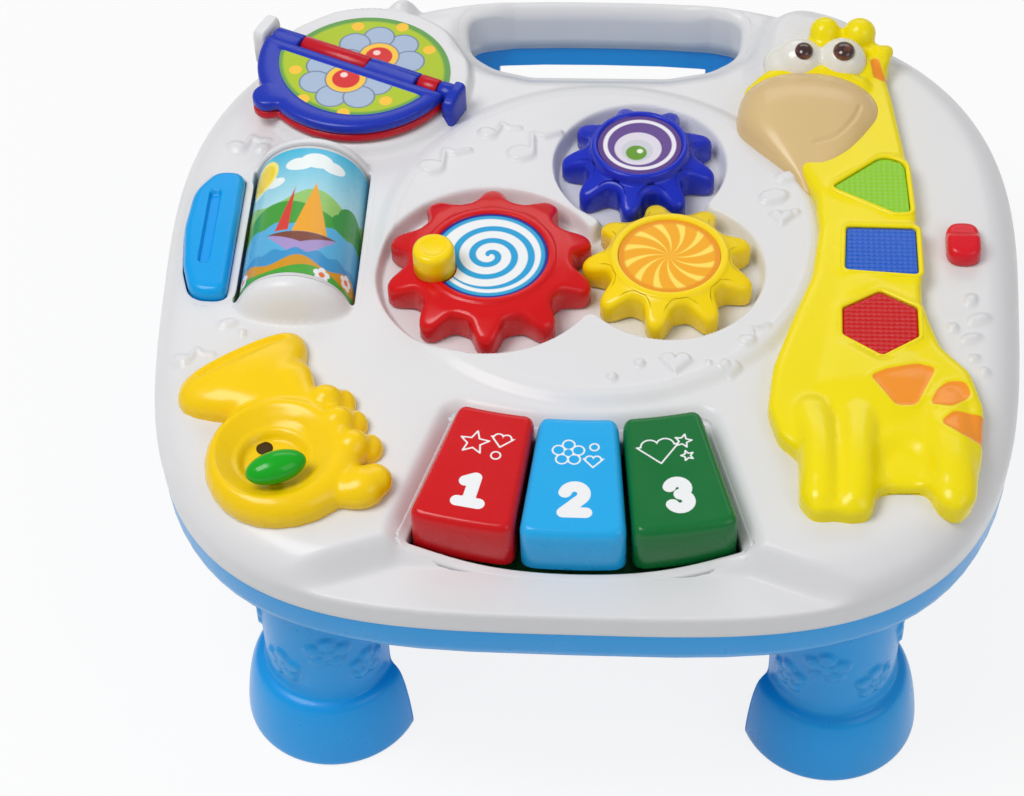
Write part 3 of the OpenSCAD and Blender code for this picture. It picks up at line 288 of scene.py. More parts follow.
def even(line, count):
    """The same closed outline with evenly spaced points."""
    line = np.vstack([line, line[:1]])
    at = np.r_[0, np.cumsum(np.hypot(*np.diff(line, axis=0).T))]
    spots = np.linspace(0, at[-1], count + 1)[:-1]
    return np.stack([np.interp(spots, at, line[:, 0]), np.interp(spots, at, line[:, 1])], 1)


def rim_line(inset, count):
    """Outline of the table, evenly spaced: squarer at the front, a little wider at the rear."""
    t = np.linspace(0, 2 * np.pi, 24001)[:-1]
    power = np.where(np.sin(t) >= 0, 2 / 2.7, 2 / 3.5)
    across = np.sign(np.cos(t)) * np.abs(np.cos(t)) ** power
    along = np.sign(np.sin(t)) * np.abs(np.sin(t)) ** power
    x = (half_w - inset) * across * (1 + 0.043 * along)
    return even(np.stack([x, (half_d - inset) * along], 1), count)


def round_gap(x, y, centre, r):
    return np.hypot(x - centre[0], y - centre[1]) - r


def outline_gap(x, y, line):
    """Signed distance to a closed outline, negative inside."""
    near = np.full(x.shape, 1e9)
    inside = np.zeros(x.shape, bool)
    for (ax, ay), (bx, by) in zip(line, np.roll(line, -1, axis=0)):
        ex, ey = bx - ax, by - ay
        t = np.clip(((x - ax) * ex + (y - ay) * ey) / (ex * ex + ey * ey + 1e-12), 0, 1)
        near = np.minimum(near, (x - ax - t * ex) ** 2 + (y - ay - t * ey) ** 2)
        cross = (ay > y) != (by > y)
        with np.errstate(divide="ignore", invalid="ignore"):
            inside ^= cross & (x < ex * (y - ay) / (ey + 1e-30) + ax)
    return np.where(inside, -1, 1) * np.sqrt(near)


def soft_less(a, b, k):
    """The lesser of two, blended over k."""
    h = np.clip(0.5 + 0.5 * (b - a) / k, 0, 1)
    return b * (1 - h) + a * h - k * h * (1 - h)


def soft_more(a, b, k):
    return -soft_less(-a, -b, k)


def corners(points, r, steps=7):
    """Closed outline with its corners rounded; r is one radius or one for each corner."""
    points = np.asarray(points, float)
    radii = np.broadcast_to(r, len(points))
    t = np.linspace(0, 1, steps)[:, None]
    line = []
    for before, here, after, rr in zip(np.roll(points, 1, 0), points, np.roll(points, -1, 0), radii):
        a, b = before - here, after - here
        la, lb = np.hypot(*a), np.hypot(*b)
        a, b = a / la, b / lb
        half = math.acos(float(np.clip(a @ b, -1, 1))) / 2
        reach = min(rr / math.tan(half), 0.49 * la, 0.49 * lb)
        line.append((1 - t) ** 2 * (here + a * reach) + 2 * t * (1 - t) * here + t ** 2 * (here + b * reach))
    return np.vstack(line)


def box_corners(x0, x1, y0, y1):
    return [(x0, y0), (x1, y0), (x1, y1), (x0, y1)]


def turn_sense(line):
    """1 for an outline that runs counter-clockwise, -1 for the other way."""
    x, y = line.T
    return np.sign(np.sum(x * np.roll(y, -1) - np.roll(x, -1) * y))


def inset_line(line, distance):
    """Outline moved inwards by a distance, along the normals of its points."""
    step = np.roll(line, -1, 0) - np.roll(line, 1, 0)
    normal = np.stack([-step[:, 1], step[:, 0]], 1) / np.hypot(*step.T)[:, None]
    return line + normal * distance * turn_sense(line)


def fan_line(span, grow, r):
    """Outline of a key, or of the well of all keys, which fan out from a point on the middle line."""
    low, high = key_rear - grow, key_front + grow
    mid = (low + high) / 2
    side = math.radians(span / 2) * mid + grow
    flat = even(corners([(-side, high), (side, high), (side, low), (-side, low)], r, 9), 360)
    angle = flat[:, 0] / mid
    return np.stack([flat[:, 1] * np.sin(angle), -flat[:, 1] * np.cos(angle)], 1) + fan_centre


key_well = fan_line(31.6, 0.9, 1.5)
drum_box = box_corners(drum_x - drum_half, drum_x + drum_half, drum_front, drum_rear)
drum_well = even(corners(drum_box, 1.2), 360)
button_line = even(corners([
    (-136.8, -23.5), (-136.8, 42.8), (-148.6, 42.8), (-156.2, 32.0), (-157.4, 12.0), (-155.2, -8.0),
    (-150.6, -23.5)], (5, 6, 8, 20, 30, 20, 11), 9), 300)
button_well = inset_line(button_line, -0.5)
slot_rear = rim_line(slot_bar, 2000)
slot_rear = slot_rear[(slot_rear[:, 1] > 0) & (np.abs(slot_rear[:, 0]) < 46)][::40]
slot_front = [(-56.5, 145), (-53.5, 127), (-43.5, 119), (-28, 114.5), (28, 115), (46, 119.5), (57, 128),
              (59, 145)]
slot_radii = [9, 9, 20, 20, 20, 20, 9, 9] + [0.01] * len(slot_rear)
slot_line = even(corners(np.vstack([slot_front, slot_rear]), slot_radii), 400)
slot_round = 2.2 + 3.8 * soft_step(136 - slot_line[:, 1], 8) * soft_step(np.abs(slot_line[:, 0]) - 40, 12)
apron_line = np.array([(-61.4, -140), (61.4, -140), (133, -168), (133, -200), (-133, -200), (-133, -168)])


def stroke_gap(x, y, path, r):
    """Distance outside a round-ended stroke along a path."""
    gap = np.full(x.shape, 99.0)
    for (ax, ay), (bx, by) in zip(path[:-1], path[1:]):
        ex, ey = bx - ax, by - ay
        t = np.clip(((x - ax) * ex + (y - ay) * ey) / (ex * ex + ey * ey), 0, 1)
        gap = np.minimum(gap, np.hypot(x - ax - t * ex, y - ay - t * ey) - r)
    return gap


def leaned(x, y, at, lean):
    """Places seen from a spot, along axes that lean by some degrees."""
    c, s = compass(lean)
    return c * (x - at[0]) + s * (y - at[1]), -s * (x - at[0]) + c * (y - at[1])


def note_gap(x, y, at, lean, size):
    """Distance outside a music note: an oval head, a stem and a flag."""
    u, v = leaned(x, y, at, lean)
    u, v = u / size, v / size
    head = np.hypot(u / 1.35, v) - 4.1
    arm = stroke_gap(u, v, [(4.1, 0), (4.1, 10), (8.5, 8.6), (14, 10.6)], 1.35)
    return np.minimum(head, arm) * size


def heart_gap(x, y, at, size):
    u, v = np.abs(x - at[0]) / size, (y - at[1]) / size
    point = np.maximum((u - v * 0.9 - 0.98) / 1.35, v - 0.4)
    return np.minimum(np.hypot(u - 0.5, v - 0.35) - 0.58, point) * size


def oval_gap(x, y, at, long_r, short_r, lean):
    u, v = leaned(x, y, at, lean)
    return np.hypot(u * short_r / long_r, v) - short_r


def motif_gap(x, y):
    """Distance outside the nearest of the raised notes, hearts, ovals and dots."""
    gap = np.full(x.shape, 99.0)
    for kind, motifs in ((note_gap, notes), (heart_gap, hearts), (oval_gap, ovals), (round_gap, dots)):
        for motif in motifs:
            gap = np.minimum(gap, kind(x, y, *motif))
    return gap


def shell_height(x, y, rim):
    """Height of the white shell's skin at a place; rim is the height of the rounded edge alone."""
    ring = round_gap(x, y, plateau_at, plateau_r)
    z = rim + plateau_h * soft_step(ring + 3, 6) + 0.45 * soft_step(np.abs(ring + 7.5) - 0.5, 2.0)
    book = round_gap(x, y, book_at, book_base_r)
    z = z + (book_base_h - z) * soft_step(book, 3.4) * soft_step(-rim - 13, 4)
    # Bump behind the book
    nub = round_gap(x, y, nub_at, 0.0)
    nub_z = np.where(nub < 16, soft_more(z, nub_top - 0.15 * nub ** 2, 2.0), z)
    z = z + (nub_z - z) * soft_step(-rim - 6, 9)
    # Raised pad behind the giraffe's head
    pad = soft_less(round_gap(x, y, (88, 127), 20), round_gap(x, y, (76, 108), 13), 12)
    z = z + pad_h * soft_step(pad, 11) * soft_step(-rim - 9, 12)
    # Barrel hood in front of the drum, and the arch behind it
    dx = x - drum_x
    back = drum_front - y
    hood_r = (drum_r + 0.8) * np.where(back < 2, 1.0, np.sqrt(np.clip(1 - ((back - 2) / 9.5) ** 2, 0, 1)))
    hood_z = np.where(np.abs(dx) < hood_r, drum_z + np.sqrt(np.clip(hood_r ** 2 - dx ** 2, 0, None)), -60)
    z = np.where((back > -3) & (back < 16), soft_more(z, hood_z, 4.0), z)
    arch_z = drum_z + np.sqrt(np.clip((drum_r + 1.3) ** 2 - dx ** 2, 0, None))
    arch = soft_step(np.abs(y - drum_rear - 1.6) - 2.6, 3.0) * soft_step(np.abs(dx) - 23.0, 1.6)
    z = z + (np.maximum(arch_z, z) - z) * arch
    # Gear basin
    basin = soft_less(round_gap(x, y, red_at, 43.5), round_gap(x, y, yellow_at, 36.2), 5)
    basin = soft_less(basin, round_gap(x, y, blue_at, 33.8), 5)
    z = z + (-basin_depth - z) * soft_step(basin + 0.6, 2.6)
    # Sloping surround of the keys, lowered apron in front of them
    surround = outline_gap(x, y, key_well)
    z = z - (z - surround_z) * soft_step(surround - 3.5, 11) * soft_step(-y - 155, 40)
    apron = outline_gap(x, y, apron_line)
    low = apron_z + 0.03 * (y + 140)
    z = z + (soft_less(z, low, 3.0) - z) * soft_step(apron - 3.6, 9)
    # Channel that leads into the carry slot
    channel = outline_gap(x, y, slot_line + (0, -5))
    z = z - slot_drop * soft_step(channel - 2.5, 15) * soft_step(y - 152, 9) * soft_step(-rim - 3, 6)
    # Bar behind the slot, a little higher than the rim beside it
    bar = (1 - soft_step(-rim - 1.3, 2.2)) * soft_step(-rim - 5, 9) * (y > 0)
    z = z + bar_rise * bar * soft_step(np.abs(x) - 70, 45)
    return z + motif_h * soft_step(motif_gap(x, y) + 0.4, 1.8)


columns = 840
side_z = np.linspace(seam, -rim_tall, 6)[:-1]
side_in = np.interp(side_z, (seam, seam + 8), (0.4, 0.0))
quarter = np.radians(np.linspace(0, 90, 20))
ring_in = np.r_[side_in, rim_wide * (1 - np.cos(quarter))]
ring_z = np.r_[side_z, -rim_tall * (1 - np.sin(quarter))]
outer = np.stack([rim_line(i, columns) for i in ring_in])
inner = outer[-1] * np.linspace(1, 0.004, 200)[1:, None, None]
plan = np.concatenate([outer, inner])
rim = np.concatenate([np.repeat(ring_z[:, None], columns, 1), np.zeros(inner.shape[:2])])
x, y = plan[..., 0], plan[..., 1]
shell_points = np.stack([x, y, shell_height(x, y, rim)], -1).reshape(-1, 3)
faces = skin_faces(len(plan), columns)
x, y = shell_points[faces].mean(1)[:, :2].T
# Name of each well's edge, outline, height of its foot, rounding, and width of the band on the shell
wells = (("key_well_edge", key_well, -16.0, 0.9, 3.4), ("drum_well_edge", drum_well, -14.0, 0.8, 1.7),
         ("button_well_edge", button_well, -12.0, 0.8, 1.9),
         ("carry_slot_edge", slot_line, seam, slot_round, 2.0))
# The lever of the toy horn reaches through an opening, which the horn covers
keep = round_gap(x, y, lever_opening, lever_opening_r) > 0
for name, line, low, r, band in wells:
    keep &= outline_gap(x, y, inset_line(line, -np.broadcast_to(r, len(line))[:, None] - 1.0)) > 0
cap = np.arange((len(plan) - 1) * columns, len(plan) * columns).tolist()
white = moulded("white_plastic", shade(226, 226, 228), rough=0.32, drift=0.015, coat=0.1)
top = mesh("top_shell_skin", (shell_points, faces[keep].tolist() + [cap]), white, "top_shell")
lining = top.modifiers.new("wall", "SOLIDIFY")
lining.thickness = shell_wall * 0.001
lining.offset = -1
table_line = rim_line(0, 1200)


def deck_height(flat):
    """Height of the shell at places inside the outline of the table."""
    gap = -outline_gap(flat[:, 0], flat[:, 1], table_line)
    c = np.clip(1 - gap / rim_wide, 0, 1)
    return shell_height(flat[:, 0], flat[:, 1], -rim_tall * (1 - np.sqrt(1 - c ** 2)))


for name, line, low, r, band in wells:
    rows = []
    r = np.broadcast_to(r, len(line))
    for out, lift in ((band, -0.04), (min(1.7, band - 0.3), 0.03), (0.9, 0.04), (0.2, 0.05)):
        place = inset_line(line, -r[:, None] - out)
        rows.append(np.c_[place, deck_height(place) + lift])
    underside = rows[-1][:, 2] - 2.0
    for a in np.radians((12, 28, 44, 60, 76, 90)):
        place = inset_line(line, -r[:, None] * (1 - math.sin(a)))
        rows.append(np.c_[place, deck_height(place) - r * (1 - math.cos(a)) + 0.05])
    crest = rows[-1][:, 2]
    rows += [np.c_[line, crest + share * (low - crest)] for share in (0.1, 0.3, 0.65, 1.0)]
    back = inset_line(line, -shell_wall)
    rows += [np.c_[back, np.full(len(line), low)], np.c_[back, np.maximum(underside, low + 0.4)]]
    faces = skin_faces(len(rows) + 1, len(line)) % (len(rows) * len(line))
    faces = faces[:, ::-1] if turn_sense(line) < 0 else faces
    mesh(name, (np.concatenate(rows), faces.tolist()), white)

# Toy gears
# Three hollow mouldings with round teeth that mesh, each turning on a spindle in the basin's floor.
# A printed disc lies in a recess of each; the blue one has a raised collar round it.
gear_foot = -3.9
gear_top = 9.5
tooth_h = 8.8
tooth_columns = 32


def level(flat, z):
    """Flat points at one height."""
    return np.c_[flat, np.full(len(flat), z)]


def turned(flat, turn):
    """Flat points turned about the origin."""
    c, s = math.cos(turn), math.sin(turn)
    return flat @ np.array(((c, s), (-s, c)))


def stack(rows):
    """Closed skin over rows of points."""
    count = len(rows[0])
    faces = skin_faces(len(rows), count).tolist()
    faces += [np.arange(count)[::-1].tolist(), ((len(rows) - 1) * count + np.arange(count)).tolist()]
    return np.concatenate(rows), faces


def full_turn(count):
    return np.linspace(0, 2 * np.pi, count + 1)[:-1]


def tooth_share(c):
    """Rounded wave from 0 in a gap to 1 on a tooth."""
    rise = 1 / (1 + np.exp(-2.8 * (np.array((c, -1 + 0 * c, 1 + 0 * c)) - 0.25)))
    return (rise[0] - rise[1]) / (rise[2] - rise[1])


def gear(name, at, teeth, tip_r, phase, label_r, collar, mat, body):
    """Toothed wheel with a recess for its disc inside a collar of that height."""
    a = full_turn(teeth * tooth_columns)
    spoke = np.stack([np.cos(a), np.sin(a)], 1)
    root = tip_r - tooth_h
    edge = (root + tooth_h * tooth_share(np.cos(teeth * a)))[:, None] * spoke

    def crown(flat):
        steps = (label_r + 3, root, root + 3, tip_r)
        return np.interp(np.hypot(*flat.T), steps, gear_top - np.array((0, 0.9, 2.0, 4.4)))

    rows = [level(0.2 * edge, gear_foot)]
    for inset, up in ((1.6, 0.0), (0.4, 0.15), (0.0, 0.7)):
        rows.append(level(inset_line(edge, inset), gear_foot + up))
    for inset, drop in ((0.0, 2.4), (0.12, 1.55), (0.45, 0.85), (0.95, 0.4), (1.6, 0.12), (2.3, 0.0)):
        flat = inset_line(edge, inset)
        rows.append(np.c_[flat, crown(flat) - drop])
    start = rows[-1][:, :2]
    for share in np.linspace(0.16, 1, 9):
        flat = start + (spoke * (label_r + 3.2) - start) * share
        rows.append(np.c_[flat, crown(flat)])
    for r, up in ((2.9, 0.35), (2.6, 0.75), (2.1, 0.95), (1.5, 1.0), (0.8, 1.0), (0.3, 0.93), (0.05, 0.7)):
        rows.append(level(spoke * (label_r + r), gear_top + collar * up))
    for r, down in ((0.0, 1.22), (-2.0, 1.24), (-label_r * 0.8, 1.24)):
        rows.append(level(spoke * (label_r + r), gear_top + collar - down))
    points, faces = stack(rows)
    points[:, :2] = turned(points[:, :2], math.radians(phase)) + at
    mesh(name + "_toothed", (points, faces), mat, name, body)


red_plastic = moulded("red_plastic", shade(212, 14, 20), rough=0.24)
yellow_plastic = moulded("yellow_plastic", shade(250, 216, 10), rough=0.25)
navy_plastic = moulded("navy_plastic", shade(22, 44, 190), rough=0.24)
red_half_pitch = 360 / 10 / 2
small_pitch = 360 / 9
yellow_turn = 180 + yellow_way
tooth_miss = yellow_turn - blue_way - small_pitch * round((yellow_turn - blue_way) / small_pitch)
blue_turn = 180 + blue_way + small_pitch / 2 - tooth_miss
gear("gear_red", red_at, 10, 40.3, yellow_way + red_half_pitch, 22.5, 0.6,
     red_plastic, "red_gear")
gear("gear_yellow", yellow_at, 9, 33.0, yellow_turn, 19.5, 0.6,
     yellow_plastic, "yellow_gear")
gear("gear_blue", blue_at, 9, 30.6, blue_turn, 16.5, 4.0,
     navy_plastic, "blue_gear")

# Printed discs and turning knob
# Glossy printed card discs in the gears' recesses: a spiral, bent rays and rings.
# The turning knob is a yellow peg pressed into the red gear.
ink_white = shade(240, 242, 244)
spiral_pitch = 0.0064
ray_count = 12.0
knob_at = red_at + 21.6 * compass(200)


def gap_mask(tree, gap, blur=0.00025):
    """Mask of 1 where the distance is below zero."""
    return spread(tree, gap, blur, -blur)


def axes_at(tree, place, at, turn=0.0):
    """Metres along two axes on the deck from a place given in millimetres, and the distance to it."""
    part = tree.nodes.new("ShaderNodeSeparateXYZ")
    feed(tree, part.inputs[0], place)
    dx = calc(tree, "SUBTRACT", part.outputs[0], float(at[0]) * 0.001)
    dy = calc(tree, "SUBTRACT", part.outputs[1], float(at[1]) * 0.001)
    c, s = math.cos(turn), math.sin(turn)
    u = calc(tree, "MULTIPLY_ADD", dx, c, calc(tree, "MULTIPLY", dy, s))
    v = calc(tree, "MULTIPLY_ADD", dy, c, calc(tree, "MULTIPLY", dx, -s))
    return u, v, reach_of(tree, u, v)


def reach_of(tree, u, v, at=(0.0, 0.0), squash=1.0):
    """Distance from a spot; squash flattens the rings along v."""
    du = calc(tree, "SUBTRACT", u, at[0])
    dv = calc(tree, "DIVIDE", calc(tree, "SUBTRACT", v, at[1]), squash)
    return calc(tree, "SQRT", calc(tree, "MULTIPLY_ADD", du, du, calc(tree, "MULTIPLY", dv, dv)))


def spots(tree, skin, u, v, discs, squash=1.0):
    """Paints discs one over another, each given by place, radius and screen colour; millimetres."""
    for at, r, tint in discs:
        reach = reach_of(tree, u, v, (at[0] * 0.001, at[1] * 0.001), squash)
        skin = over(tree, skin, gap_mask(tree, calc(tree, "SUBTRACT", reach, r * 0.001)), shade(*tint))
    return skin


def lap_of(tree, u, v):
    """Share of a turn round the middle."""
    return calc(tree, "DIVIDE", calc(tree, "ARCTAN2", v, u), 2 * math.pi)


def from_half(tree, value):
    """How far the fraction of a value is from one half."""
    return calc(tree, "ABSOLUTE", calc(tree, "SUBTRACT", calc(tree, "FRACT", value), 0.5))


def spiral_print(tree, place, under):
    u, v, reach = axes_at(tree, place, red_at)
    wave = calc(tree, "ADD", calc(tree, "DIVIDE", reach, spiral_pitch), lap_of(tree, u, v))
    band = calc(tree, "SUBTRACT", from_half(tree, wave), 0.21)
    skin = over(tree, ink_white, gap_mask(tree, band, 0.035), shade(30, 160, 215))
    for r, top in ((0.0178, ink_white), (0.0196, shade(40, 165, 215)), (0.0212, shade(25, 40, 150))):
        skin = over(tree, skin, gap_mask(tree, calc(tree, "SUBTRACT", r, reach)), top)
    return skin


def ray_print(tree, place, under):
    u, v, reach = axes_at(tree, place, yellow_at)
    around = calc(tree, "MULTIPLY", lap_of(tree, u, v), ray_count)
    bent = calc(tree, "ADD", around, calc(tree, "MULTIPLY", reach, -62.0))
    ray = calc(tree, "SUBTRACT", from_half(tree, bent), spread(tree, reach, 0.002, 0.017, 0.06, 0.19))
    skin = over(tree, under, gap_mask(tree, ray, 0.04), shade(255, 226, 96))
    ring = calc(tree, "SUBTRACT", 0.0172, reach)
    return over(tree, skin, gap_mask(tree, ring, 0.0006), shade(236, 150, 12))


def ring_print(tree, place, under):
    u, v = axes_at(tree, place, blue_at)[:2]
    return spots(tree, under, u, v, (
        ((0, 0), 14.3, (236, 232, 240)), ((0, 0), 12.6, (96, 62, 140)), ((-0.6, -2.2), 9.2, (222, 216, 228)),
        ((-0.9, -3.4), 6.2, (205, 206, 214)), ((-1.2, -4.6), 4.1, (96, 150, 20)),
        ((0.2, -3.6), 1.2, (238, 244, 226))))


dress("gear_red_label", moulded("spiral_card", ink_white, rough=0.3, print_and_glint_on=spiral_print))
dress("gear_yellow_label", moulded("ray_card", shade(246, 172, 20), rough=0.3, print_and_glint_on=ray_print))
dress("gear_blue_label", moulded("ring_card", shade(84, 44, 130), rough=0.3, print_and_glint_on=ring_print))


def lathe(at, line, count=72):
    """Turned form, closed by flat ends where the line of radii and heights starts and stops."""
    a = full_turn(count)
    return stack([level(np.stack([at[0] + r * np.cos(a), at[1] + r * np.sin(a)], 1), z) for r, z in line])


knob_line = [(7.0, 9.6), (8.0, 9.6), (8.0, 15), (7.95, 18.4), (7.8, 19.4), (7.4, 20.3), (6.8, 20.8),
             (6.0, 21.05), (5.0, 21.0), (4.2, 20.7), (3.4, 20.5), (1.0, 20.45)]
mesh("turning_knob", lathe(knob_at, knob_line), yellow_plastic, "gear_red_knob", "red_gear")

# Picture drum
# A white roller on a steel axle, wrapped in a printed sleeve that shows a picture twice round its girth.
# The axle ends turn in the shell, so that a hand rolls the drum to either side.
drum_y = 11.2
sleeve_r = 22.25
half_girth = math.pi * sleeve_r / 2
cloud_white = (238, 246, 246)
clouds = (((-3, 25), 5.5), ((4, 27), 6.5), ((11, 25), 5), ((-22, 17), 4), ((-17, 19), 5), ((-12, 17), 4))
sun = (((-20, 24), 8.2, (252, 236, 120)), ((-20, 24), 6.4, (246, 214, 30)))
# Height, swing, wave length, shift and colour of the hills and waters behind and before the boat
far_banks = ((8, 3.5, 35, 0.6, (150, 200, 110)), (1, 4, 69.9, 2.4, (70, 160, 60)),
             (-7, 0.8, 11.65, 0.0, (90, 178, 224)))
near_banks = ((-21.5, 0.9, 8.74, 1.2, (62, 150, 206)), (-26.5, 2.2, 23.3, 1.0, (212, 150, 30)),
              (-30.5, 1.6, 34.95, 0.3, (74, 166, 56)))
boat = (((-2, -12), (12, -12), (5, 15), (240, 168, 40)), ((-9, -11), (-3.5, -11), (-3.0, 12), (214, 70, 60)),
        ((16, -13), (-12, -13), (2, -27), (170, 150, 205)),
        ((16.4, -12), (-12.4, -12), (2, -17.5), (128, 74, 60)))
bushes = (((22, 2), 6.5), ((27, -1), 5.5), ((18, -2), 5))
daisies = ((-24, -29), (24, -28), (12, -32))


def landscape_print(tree, place, under):
    part = tree.nodes.new("ShaderNodeSeparateXYZ")
    feed(tree, part.inputs[0], place)
    dx = calc(tree, "SUBTRACT", part.outputs[0], drum_x * 0.001)
    dz = calc(tree, "SUBTRACT", part.outputs[2], (deck + drum_z) * 0.001)
    u = calc(tree, "MULTIPLY", calc(tree, "ARCTAN2", dx, dz), sleeve_r * 0.001)
    u = calc(tree, "WRAP", u, half_girth * 0.001, -half_girth * 0.001)
    v = calc(tree, "SUBTRACT", part.outputs[1], drum_y * 0.001)

    def bank(under, height, swing, length, shift, tint):
        wave = calc(tree, "SINE", calc(tree, "MULTIPLY_ADD", u, 6.2832 / (length * 0.001), shift))
        line = calc(tree, "MULTIPLY_ADD", wave, swing * 0.001, height * 0.001)
        return over(tree, under, gap_mask(tree, calc(tree, "SUBTRACT", v, line)), shade(*tint))

    def wedge(under, a, b, c, tint):
        mask = None
        for (x0, y0), (x1, y1) in ((a, b), (b, c), (c, a)):
            length = math.hypot(x1 - x0, y1 - y0)
            nx, ny = (y1 - y0) / length, -(x1 - x0) / length
            away = calc(tree, "MULTIPLY_ADD", u, nx, calc(tree, "MULTIPLY", v, ny))
            side = calc(tree, "SUBTRACT", away, (x0 * nx + y0 * ny) * 0.001)
            mask = side if mask is None else calc(tree, "MAXIMUM", mask, side)
        return over(tree, under, gap_mask(tree, mask), shade(*tint))

    skin = over(tree, shade(180, 226, 236), spread(tree, v, 0.004, 0.034), shade(70, 186, 222))
    skin = spots(tree, skin, u, v, [(at, r, cloud_white) for at, r in clouds], 0.62)
    skin = spots(tree, skin, u, v, sun)
    for shape in far_banks:
        skin = bank(skin, *shape)
    for shape in boat:
        skin = wedge(skin, *shape)
    for shape in near_banks:
        skin = bank(skin, *shape)
    skin = spots(tree, skin, u, v, [(at, r, (60, 150, 70)) for at, r in bushes])
    for at in daisies:
        petals = [(at + 2.1 * compass(72 * k + 18), 1.5, (240, 242, 244)) for k in range(5)]
        skin = spots(tree, skin, u, v, petals + [(at, 1.3, (236, 120, 60))])
    return skin


dress("drum_sleeve", moulded("landscape_sleeve", shade(180, 226, 236), rough=0.26, drift=0.03, coat=0.15,
                             print_and_glint_on=landscape_print))
dress("drum_roller", moulded("roller_plastic", shade(212, 212, 214), rough=0.4))
steel = moulded("turned_steel", shade(190, 192, 196), rough=0.32, coat=0.0)
steel.node_tree.nodes["Principled BSDF"].inputs["Metallic"].default_value = 1.0
dress("drum_axle", steel)

# Paddle button
# A bright blue push button beside the drum, rounded to the rim, with a shallow finger groove.
# It slides down three millimetres on the plunger under it and springs back on a rubber dome.
groove = corners(box_corners(-149.6, -144.8, -8.4, 31.2), 2.3)
groove_deep = 2.2


def cushion(line, profile, fill=22, shape=None):
    """Rounded block: rows at (inset, height) from its foot up, then rows that close in on its middle."""
    rows = [level(inset_line(line, i), z) for i, z in profile]
    middle = rows[-1].mean(0)
    rows += [middle + (rows[-1] - middle) * s for s in np.linspace(1, 0.03, fill + 1)[1:]]
    points, faces = stack(rows)
    if shape:
        points[:, 2] = shape(*points.T)
    return points, [f[::-1] for f in faces] if turn_sense(line) < 0 else faces


def paddle_top(x, y, z):
    return z - groove_deep * soft_step(outline_gap(x, y, groove) + 0.3, 0.8) * (z > 4.4)


paddle_blue = moulded("bright_blue_plastic", shade(0, 160, 234), rough=0.3)
paddle_profile = [(0.3, -4.8), (0, -4.4), (0, 1.2), (0.12, 2.3), (0.5, 3.3), (1.1, 4.15), (1.9, 4.7),
                  (2.6, 4.95), (3.1, 5.0)]
mesh("paddle_pad", cushion(button_line, paddle_profile, 44, paddle_top), paddle_blue,
     "paddle_button", "paddle")

# Piano keys
# Three hollow blocks that fan out to the front edge and rock on steel rods at their rear ends.
# White paint on each: a plump number and a group of small line drawings.
key_span, key_turn, key_corner = 10.2, 10.7, 4.9
key_profile = [(0.8, -12), (0.3, -11.8), (0, -11.3), (0, 3), (0.05, 4.9), (0.3, 6.1), (0.85, 7.2),
               (1.7, 7.95), (2.4, 8.3), (3.1, 8.4)]
number_wide, pen_wide = 2.35, 0.3
unpainted = 9.0


def arc_path(at, r, start, stop, steps=14):
    return [tuple(at + r * compass(a)) for a in np.linspace(start, stop, steps)]


numbers = {
    "red": [[(-2.6, 3.6), (0.6, 5.6), (0.6, -5.6)], [(-3.4, -5.8), (4.4, -5.8)]],
    "blue": [arc_path((0, 2.6), 3.4, 170, -35) + [(-3.6, -5.8), (4.2, -5.8)]],
    "green": [arc_path((-0.3, 3.1), 2.9, 160, -80) + arc_path((-0.3, -2.9), 3.1, 80, -160)],
}


def star_gap(u, v, at, r, turn, tips=5, depth=0.45):
    a = np.radians(turn + np.arange(2 * tips) * 180 / tips)
    reach = np.where(np.arange(2 * tips) % 2, r * depth, r)
    return outline_gap(u, v, np.stack([at[0] + reach * np.cos(a), at[1] + reach * np.sin(a)], 1))


def drawing_gaps(name, u, v):
    """Distances outside each of the line drawings of a key."""
    if name == "red":
        return [star_gap(u, v, (-4, 0.5), 5.5, 90), heart_gap(u, v, (5.5, 3.5), 3.0),
                round_gap(u, v, (5, -3.8), 1.7)]
    if name == "blue":
        return [blossom_gap(u + 3, v - 0.5, 6.0), round_gap(u, v, (-3, 0.5), 1.5),
                heart_gap(u, v, (6.0, -3.2), 2.6), round_gap(u, v, (6.2, 3.4), 1.6)]
    return [heart_gap(u, v, (-4, 0.3), 5.6), star_gap(u, v, (5.4, 3.4), 3.2, 70),
            star_gap(u, v, (5.8, -3.6), 2.4, 100)]


def mark(piece, name, values):
    """Stores a number at each point of a piece, for its material to read."""
    piece.data.attributes.new(name, "FLOAT", "POINT").data.foreach_set("value", values)


def marked(tree, name):
    step = tree.nodes.new("ShaderNodeAttribute")
    step.attribute_name = name
    return step.outputs["Fac"]


def key_print(tree, place, under):
    pen = calc(tree, "SUBTRACT", calc(tree, "ABSOLUTE", marked(tree, "drawing_gap")), pen_wide)
    paint = calc(tree, "MINIMUM", marked(tree, "number_gap"), pen)
    return over(tree, under, gap_mask(tree, paint, 0.12), ink_white)


for step, name, tint, finish in ((-1, "red", shade(208, 16, 24), "red_plastic"),
                                 (0, "blue", shade(34, 172, 236), "sky_plastic"),
                                 (1, "green", shade(14, 112, 52), "green_plastic")):
    points, faces = cushion(fan_line(key_span, 0, key_corner), key_profile, 46)
    u, v = points[:, 0], points[:, 1] - fan_centre[1] + (key_rear + key_front) / 2
    top_side = points[:, 2] > 7.9
    number = np.minimum.reduce([stroke_gap(u, v + 11.5, path, number_wide) for path in numbers[name]])
    drawing = np.minimum.reduce(drawing_gaps(name, u, v - 9.5))
    points[:, :2] = turned(points[:, :2] - fan_centre, math.radians(key_turn * step)) + fan_centre
    key_mat = moulded(name + "_key_plastic", tint, rough=0.26, print_and_glint_on=key_print)
    key = mesh(name + "_key_block", (points, faces), key_mat, "key_" + name, name + "_key")
    mark(key, "number_gap", np.where(top_side, number, unpainted))
    mark(key, "drawing_gap", np.where(top_side, drawing, unpainted))

